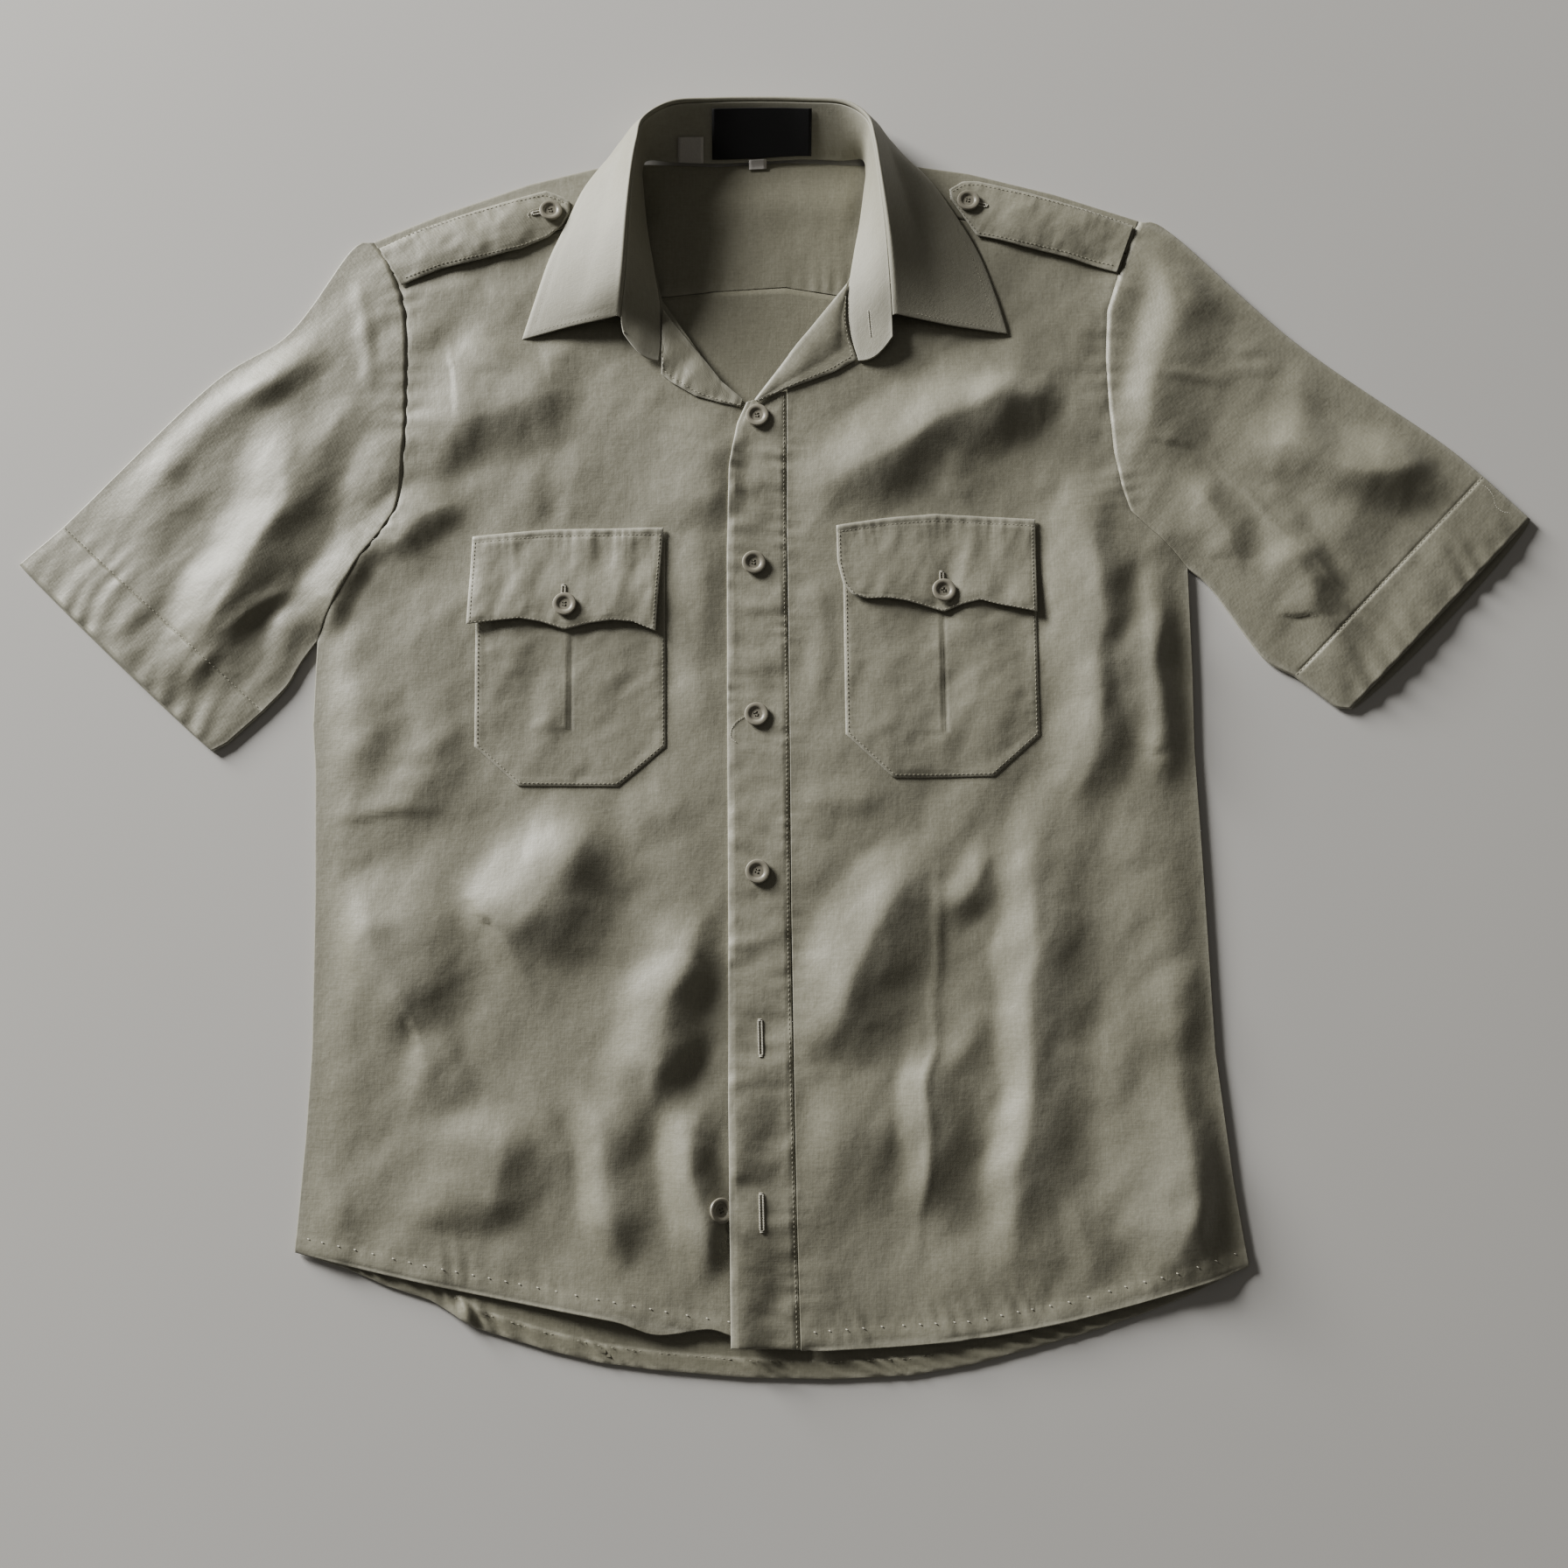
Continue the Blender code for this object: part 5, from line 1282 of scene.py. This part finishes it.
def station_steps(seam_points, step):
    gaps = np.linalg.norm(np.diff(seam_points, axis=0), axis=1)
    t = [np.array([0.0, 0.02])]
    for k, gap in enumerate(gaps):
        count = max(int(round(gap / step)), 2)
        t.append(k + np.arange(1, count + 1) / count)
    t = np.unique(np.concatenate(t))
    return np.sort(np.append(t, t[-1] - 0.02))


# %% Stand
def make_stand():
    seam_line = np.array([STAND_END_RIGHT[0]] + [tuple(s[0]) for s in COLLAR] + [STAND_END_LEFT[0]])
    crest_line = np.array([STAND_END_RIGHT[1]] + [tuple(s[1]) for s in COLLAR] + [STAND_END_LEFT[1]])
    t = station_steps(crest_line, 2.6)
    low, high = smooth_line(seam_line, t), smooth_line(crest_line, t)
    length = np.linalg.norm(high - low, axis=1, keepdims=True)
    high = high - (high - low) / length * 2.6
    r = knots(30, 1.5, 0.5)
    points = low[:, None] * (1 - r[None, :, None]) + high[:, None] * r[None, :, None]
    end = np.minimum(t, t[-1] - t)
    bulge = np.clip(1 - end, 0, 1)[:, None] * np.sin(np.pi * r)[None] * 5.0
    points[..., 1] -= bulge
    s = np.concatenate(([0], np.cumsum(np.linalg.norm(np.diff(low, axis=0), axis=1))))
    edge = np.minimum(r, 1 - r)[None] * 30 + s[:, None] * 0
    around = s[:, None] + r[None] * 30
    bend = soft_noise(around, r[None] * 30 + 50, 14, 0.2, 1.5) * 0.35
    bend = bend + puckers(r[None] * 30 + s[:, None] * 0, s[:, None] / s[-1] + r[None] * 0, s[-1], 8, 0.3, 4)
    points[..., 2] += bend * ease(edge / 3)
    wear_and_highlight = 0.6 * np.exp(-edge / 1.1) + 0.7 * np.exp(-np.minimum(s, s[-1] - s)[:, None] / 1.2) + edge * 0
    piece = cloth("collar_stand_band", points, "collar_stand", PRESSED_TWILL, COLLAR_CLOTH, offset=0.0,
                  wear_and_highlight=wear_and_highlight, uv=cloth_uv(points), slot="collar", up=False)
    return piece, points, t


stand, stand_points, stand_t = make_stand()


# %% Leaf
LEAF_ROLL = 4.6


def make_leaf():
    t = station_steps(COLLAR[:, 1], 2.6)
    seam_at, crest, knee, edge = (smooth_line(COLLAR[:, k], t) for k in range(4))
    up = crest - seam_at
    up /= np.linalg.norm(up, axis=1, keepdims=True)
    out = knee - crest
    out /= np.linalg.norm(out, axis=1, keepdims=True)
    start = crest - up * 2.2
    lines = [start, crest - up * 1.2]
    first, last = crest - up * 1.2, crest + out * LEAF_ROLL
    rise, fall = first + up * 1.9, last - out * (LEAF_ROLL * 0.8)
    for k in np.linspace(0, 1, 9)[1:]:
        a, b, c = first + (rise - first) * k, rise + (fall - rise) * k, fall + (last - fall) * k
        d, e = a + (b - a) * k, b + (c - b) * k
        lines.append(d + (e - d) * k)
    for k in np.linspace(0, 1, 11)[1:]:
        lines.append(last + (knee - last) * k)
    reach = np.linalg.norm(edge - knee, axis=1).mean()
    for k in knots(reach, 1.9, 0.5)[1:]:
        point = knee + (edge - knee) * k
        lines.append(point)
    points = np.array(lines).transpose(1, 0, 2)
    for _ in range(6):
        inner = points[:, 9:-3].copy()
        points[:, 10:-4] = (inner[:, :-2] + inner[:, 2:] + 2 * inner[:, 1:-1]) / 4
    v = np.linspace(0, 1, points.shape[1])[None]
    s = np.concatenate(([0], np.cumsum(np.linalg.norm(np.diff(edge, axis=0), axis=1))))[:, None]
    steps = np.linalg.norm(np.diff(points, axis=1), axis=2)
    down = np.concatenate((np.zeros((points.shape[0], 1)), np.cumsum(steps, axis=1)), axis=1)
    left_over = down[:, -1:] - down
    tips = np.minimum(np.linalg.norm(points - points[:1], axis=2),
                      np.linalg.norm(points - points[-1:], axis=2))
    rim = np.minimum(left_over, tips)
    z = soft_noise(s + v * 0, down, 26, 0.3, 1.6) * 0.5 * ease(rim / 10)
    z = z - 0.3 * np.exp(-((rim - 4.6) / 0.9) ** 2) - 0.3 * (1 - ease(rim / 0.9))
    points[..., 2] += z * ease(down / 10)
    wear_and_highlight = 0.6 * np.exp(-rim / 1.2) + 0.18 * np.exp(-np.abs(down - 3.5) / 1.5)
    piece = cloth("collar_leaf_fold", points, "collar_leaf", PRESSED_TWILL, COLLAR_CLOTH, offset=0.0,
                  wear_and_highlight=wear_and_highlight, uv=cloth_uv(points), slot="collar", up=False)
    return piece, points


leaf, leaf_points = make_leaf()


def inset_row(points, back):
    """The line of a grid that lies back rows in from the last one, with the ends cut short."""
    return points[4:-4, -back]


lift = np.array((0, 0, COLLAR_CLOTH / 2 - 0.05))
seam("collar_stitches", inset_row(leaf_points, 4) + lift, None, 2.6, 1.9, 0.45)
for end in (2, -3):
    seam("collar_stitches", leaf_points[end, 12:-4] + lift, None, 2.6, 1.9, 0.45)
for share in np.linspace(0.5, len(stand_t) - 1.5, 60)[::5]:
    row = int(share)
    p = stand_points[row, -2] + (0, 0, 0.6)
    lay_stitch(stitch_bed("collar_stitches"), Vector((p + OFFSET) * MM),
               Vector((p + OFFSET + (0.6, 1.6, 0.8)) * MM), 0.6 * MM, 0.5 * MM)

# %% [markdown]
# ## Label and tabs
# A black satin label and two small tapes are sewn inside the stand. They are left bare.

# %% Label and tabs
def tag(name, node, first, last, low, high, finish, slot):
    """A flat piece that follows the stand's inner face."""
    t = np.linspace(first, last, max(int((last - first) * 14), 6)) + 1
    rows = knots(30 * (high - low), 1.5, 0.4) * (high - low) + low
    bottom = np.stack([np.interp(t, stand_t, stand_points[:, 0, k]) for k in range(3)], -1)
    top = np.stack([np.interp(t, stand_t, stand_points[:, -1, k]) for k in range(3)], -1)
    points = bottom[:, None] * (1 - rows[None, :, None]) + top[:, None] * rows[None, :, None]
    du = np.gradient(points, axis=0)
    dv = np.gradient(points, axis=1)
    normal = np.cross(du, dv)
    normal /= np.linalg.norm(normal, axis=-1, keepdims=True)
    normal *= np.sign(normal[..., 2:].mean())
    points = points + normal * (COLLAR_CLOTH / 2 + 0.75)
    points[..., 2] = np.maximum(points[..., 2], 2.2)
    return cloth(name, points, node, finish, 0.45, uv=cloth_uv(points), offset=0.0, slot=slot)


neck_label = tag("neck_label_satin", "neck_label", 7.95, 10.25, 0.06, 0.9, LABEL_BLACK, "label")
care_tab = tag("care_tab_tape", "care_tab", 7.15, 7.75, 0.0, 0.44, TAPE_WHITE, "tab")
size_tab = tag("size_tab_tape", "size_tab", 8.85, 9.25, -0.14, 0.04, TAPE_WHITE, "tab")

# %% [markdown]
# ## Buttons
# A shirt button is turned: a raised rim round a shallow dish with four holes. It is sewn
# with thread through the holes.

# %% Buttons
BUTTON_PROFILE = ((0, 1.35), (2.6, 1.3), (3.7, 1.35), (4.2, 1.9), (4.8, 2.3), (5.9, 2.55), (6.9, 2.35),
                  (7.45, 1.7), (7.3, 0.9), (6.6, 0.35), (5.4, 0.1), (0, 0.0))
HOLE_RADIUS = 0.62
HOLE_REACH = 1.25


def button_mesh():
    """One drilled button, made once and copied."""
    bm = bmesh.new()
    profile = [bm.verts.new((r, 0, z)) for r, z in BUTTON_PROFILE]
    edges = [bm.edges.new(pair) for pair in zip(profile, profile[1:])]
    bmesh.ops.spin(bm, geom=profile + edges, cent=(0, 0, 0), axis=(0, 0, 1), angle=math.tau,
                   steps=40, use_merge=True)
    bmesh.ops.remove_doubles(bm, verts=bm.verts, dist=1e-4)
    bmesh.ops.recalc_face_normals(bm, faces=bm.faces)
    blank = bpy.data.meshes.new("button_blank")
    bm.to_mesh(blank)
    bm.free()
    drill = bmesh.new()
    for k in range(4):
        angle = math.pi / 4 + k * math.pi / 2
        place = Matrix.Translation((HOLE_REACH * math.cos(angle), HOLE_REACH * math.sin(angle), 1))
        bmesh.ops.create_cone(drill, cap_ends=True, segments=12, radius1=HOLE_RADIUS, radius2=HOLE_RADIUS,
                              depth=4, matrix=place)
    bits = bpy.data.meshes.new("drill_bits")
    drill.to_mesh(bits)
    drill.free()
    body = bpy.data.objects.new("button_blank", blank)
    tool = bpy.data.objects.new("drill_bits", bits)
    for item in (body, tool):
        bpy.context.scene.collection.objects.link(item)
    cut = body.modifiers.new("holes", "BOOLEAN")
    cut.object, cut.operation, cut.solver = tool, "DIFFERENCE", "EXACT"
    drilled = bpy.data.meshes.new_from_object(body.evaluated_get(bpy.context.evaluated_depsgraph_get()))
    for item in (body, tool):
        bpy.data.objects.remove(item)
    return drilled


Seat = namedtuple("Seat", "name x y top spin")
SEATS = (
    Seat("button_placket_1", -13, 188, placket_top, 0.2),
    Seat("button_placket_2", -15, 90, placket_top, 0.1),
    Seat("button_placket_3", -13, -8, placket_top, 0.5),
    Seat("button_placket_4", -12, -106, placket_top, -0.3),
    Seat("button_undone", -33, -306, shirt_top, 0.4),
    Seat("button_flap_right", -133, 62, flap_right_top, 0.0),
    Seat("button_flap_left", 104, 71, flap_left_top, 0.7),
    Seat("button_strap_right", -149, 331, strap_right_top, 0.3),
    Seat("button_strap_left", 125, 338, strap_left_top, -0.2),
)
drilled_button = button_mesh()
button_places = {}


def make_button(seat):
    angles = np.linspace(0, math.tau, 16, endpoint=False)
    dx = np.concatenate((7.5 * np.cos(angles), 3.7 * np.cos(angles)))
    dy = np.concatenate((7.5 * np.sin(angles), 3.7 * np.sin(angles)))
    z = seat.top(seat.x + dx, seat.y + dy)
    slope_x, slope_y = (dx * z).sum() / (dx * dx).sum(), (dy * z).sum() / (dy * dy).sum()
    level = (z - slope_x * dx - slope_y * dy).max()
    normal = Vector((-slope_x, -slope_y, 1)).normalized()
    turn = Vector((0, 0, 1)).rotation_difference(normal).to_matrix().to_4x4()
    middle = np.array((seat.x, seat.y, level + 0.15)) + OFFSET
    place = Matrix.Translation(middle * MM) @ turn @ Matrix.Rotation(seat.spin, 4, "Z") @ Matrix.Scale(MM, 4)
    mesh = drilled_button.copy()
    mesh.transform(place)
    mesh.shade_smooth()
    mesh.set_sharp_from_angle(angle=math.radians(38))
    mesh.materials.clear()
    mesh.materials.append(BUTTON)
    piece = bpy.data.objects.new(seat.name + "_turned", mesh)
    bpy.context.scene.collection.objects.link(piece)
    own(piece, seat.name, "button")
    bed = stitch_bed("button_thread")
    angles = [math.pi / 4 + k * math.pi / 2 for k in range(4)]
    spots = [(HOLE_REACH * math.cos(a), HOLE_REACH * math.sin(a)) for a in angles]
    for a, b in ((0, 1), (2, 3), (0, 1), (2, 3)):
        wide = 0.12 if (a, b) == (0, 1) else -0.12
        start = place @ Vector((spots[a][0], spots[a][1] + wide, 1.5))
        end = place @ Vector((spots[b][0], spots[b][1] + wide, 1.5))
        lay_stitch(bed, start, end, 0.7 * MM, 0.6 * MM)
    button_places[seat.name] = place
    return piece


buttons = [make_button(seat) for seat in SEATS]
print("buttons:", len(buttons), "faces each:", len(drilled_button.polygons))

# %% [markdown]
# ## Threads
# The rows of stitches become one piece for each part that carries them. Hand-sewn prick
# stitches hold the front hem.

# %% Hem pricks and loose threads
prick_x, prick_y = PRICKS.T
right_height = shirt_top(prick_x, prick_y) + front_detail(
    prick_x, prick_y, FRONT_HEM_RIGHT, ARMHOLE_RIGHT, -1)[0]
left_height = left_top(prick_x, prick_y) + front_detail(
    prick_x, prick_y, FRONT_HEM_LEFT, ARMHOLE_LEFT, 1)[0]
prick_heights = np.where(prick_x < 8, right_height, left_height)
for (x, y), height in zip(PRICKS, prick_heights):
    start = (np.array((x - 1.0, y + 0.5, height + 0.45)) + OFFSET) * MM
    end = (np.array((x + 1.0, y - 0.5, height + 0.45)) + OFFSET) * MM
    lay_stitch(stitch_bed("hem_pricks"), start, end, 0.8 * MM, 0.7 * MM)

LOOSE_THREADS = (
    (((446, 143), (451, 142), (455, 136), (456, 129), (460, 125), (466, 124)), shirt_top),
    (((-14, -8), (-20, -9), (-27, -14), (-29, -22), (-25, -26)), placket_top),
    (((-155, 333), (-160, 332), (-164, 328), (-162, 325)), strap_right_top),
)
for line, top in LOOSE_THREADS:
    curve = smooth_line(np.array(line, float), np.linspace(0, len(line) - 1, 30))
    seam("loose_threads", curve, top, 1.5, 2.3, 0.38, sink=-0.15)

# %% Buttonhole in the stand's left end, and the stitch pieces
def stand_hole(rows, column, side_step):
    """Close stitches in two lines along the stand, at one of its ends."""
    for hand in (-1, 1):
        line = stand_points[rows, column] + (hand * side_step, 0, COLLAR_CLOTH / 2 + 0.15)
        seam("stand_buttonhole", line, None, 0.9, 1.1, 0.9)


stand_hole(slice(-10, -4), 10, 0.8)

PALE_BEDS = ("hem_pricks", "loose_threads", "placket_buttonholes", "flap_buttonholes",
             "strap_buttonholes", "stand_buttonhole")
stitch_pieces = []
for bed_name, bed in stitch_meshes.items():
    mesh = bpy.data.meshes.new(bed_name)
    bed.to_mesh(mesh)
    bed.free()
    mesh.shade_smooth()
    mesh.materials.append(PALE_THREAD if bed_name in PALE_BEDS else THREAD)
    piece = bpy.data.objects.new(bed_name, mesh)
    bpy.context.scene.collection.objects.link(piece)
    stitch_pieces.append(own(piece))
    print(bed_name, "faces:", len(mesh.polygons))

# %% [markdown]
# ## Cut sizes
# Every cloth piece says how large it was cut, and prints its finished half area beside it.

def measured_area(piece):
    mesh = piece.evaluated_get(bpy.context.evaluated_depsgraph_get()).to_mesh()
    return sum(p.area for p in mesh.polygons) / 2


def declare(piece, area):
    print(piece.name, "half area", round(measured_area(piece), 4), "cut", area)


declare(back_panel, 0.338)
declare(yoke_inside, 0.0415)
declare(yoke_right, 0.0062)
declare(yoke_left, 0.0060)
declare(front_right, 0.172)
declare(front_left, 0.166)
declare(sleeve_right, 0.098)
declare(sleeve_left, 0.094)
declare(placket, 0.0222)
declare(pocket_right, 0.0178)
declare(pocket_left, 0.0176)
declare(flap_right, 0.0073)
declare(flap_left, 0.0070)
declare(strap_right, 0.0040)
declare(strap_left, 0.0038)
declare(facing_left, 0.0020)
declare(facing_right, 0.0016)
declare(stand, 0.0150)
declare(leaf, 0.0260)
declare(neck_label, 0.0017)
declare(care_tab, 0.0003)
declare(size_tab, 0.00008)

# %% [markdown]
# ## Floor, light and camera
# The shirt lies on a pale matt floor. One broad light stands low at its upper left, so the
# folds show, and a weak even light fills the shadows.

# %% Floor
def make_floor():
    bm = bmesh.new()
    bmesh.ops.create_grid(bm, x_segments=1, y_segments=1, size=4.0)
    mesh = bpy.data.meshes.new("floor")
    bm.to_mesh(mesh)
    bm.free()
    made = Finish("pale floor", Roughness=0.9)
    place = made.node("ShaderNodeTexCoord", output=3)
    tone = made.noise(place, (0.3, 0.3, 0.3), 3.0)
    made.feed(Base_Color=made.mix(tone, (0.60, 0.59, 0.57, 1), (0.64, 0.63, 0.61, 1)))
    mesh.materials.append(made.material)
    floor = bpy.data.objects.new("floor", mesh)
    bpy.context.scene.collection.objects.link(floor)
    floor.location.z = -0.0006


make_floor()


# %% Lights
def area_light(name, place, target, size, power, colour):
    data = bpy.data.lights.new(name, "AREA")
    data.size, data.energy, data.color = size, power, colour
    lamp = bpy.data.objects.new(name, data)
    lamp.location = place
    lamp.rotation_euler = (Vector(target) - Vector(place)).to_track_quat("-Z", "Y").to_euler()
    bpy.context.scene.collection.objects.link(lamp)


area_light("window", (-3.7, 3.05, 1.38), (0, -0.05, 0), 1.75, 665, (1.0, 0.985, 0.955))
world = bpy.data.worlds.new("room")
world.use_nodes = True
world.node_tree.nodes["Background"].inputs[0].default_value = (1.0, 0.95, 0.86, 1)
world.node_tree.nodes["Background"].inputs[1].default_value = 0.085
bpy.context.scene.world = world

# %% Camera
TILT = math.radians(11)
DISTANCE = 1.05
TARGET = Vector((0.0045, -0.0559, 0.0))
camera_data = bpy.data.cameras.new("camera")
camera_data.sensor_fit, camera_data.sensor_width, camera_data.lens = "HORIZONTAL", 36, 39.05
camera = bpy.data.objects.new("camera", camera_data)
camera.location = TARGET + DISTANCE * Vector((0, -math.sin(TILT), math.cos(TILT)))
camera.rotation_euler = (TARGET - camera.location).to_track_quat("-Z", "Y").to_euler()
bpy.context.scene.collection.objects.link(camera)
bpy.context.scene.camera = camera
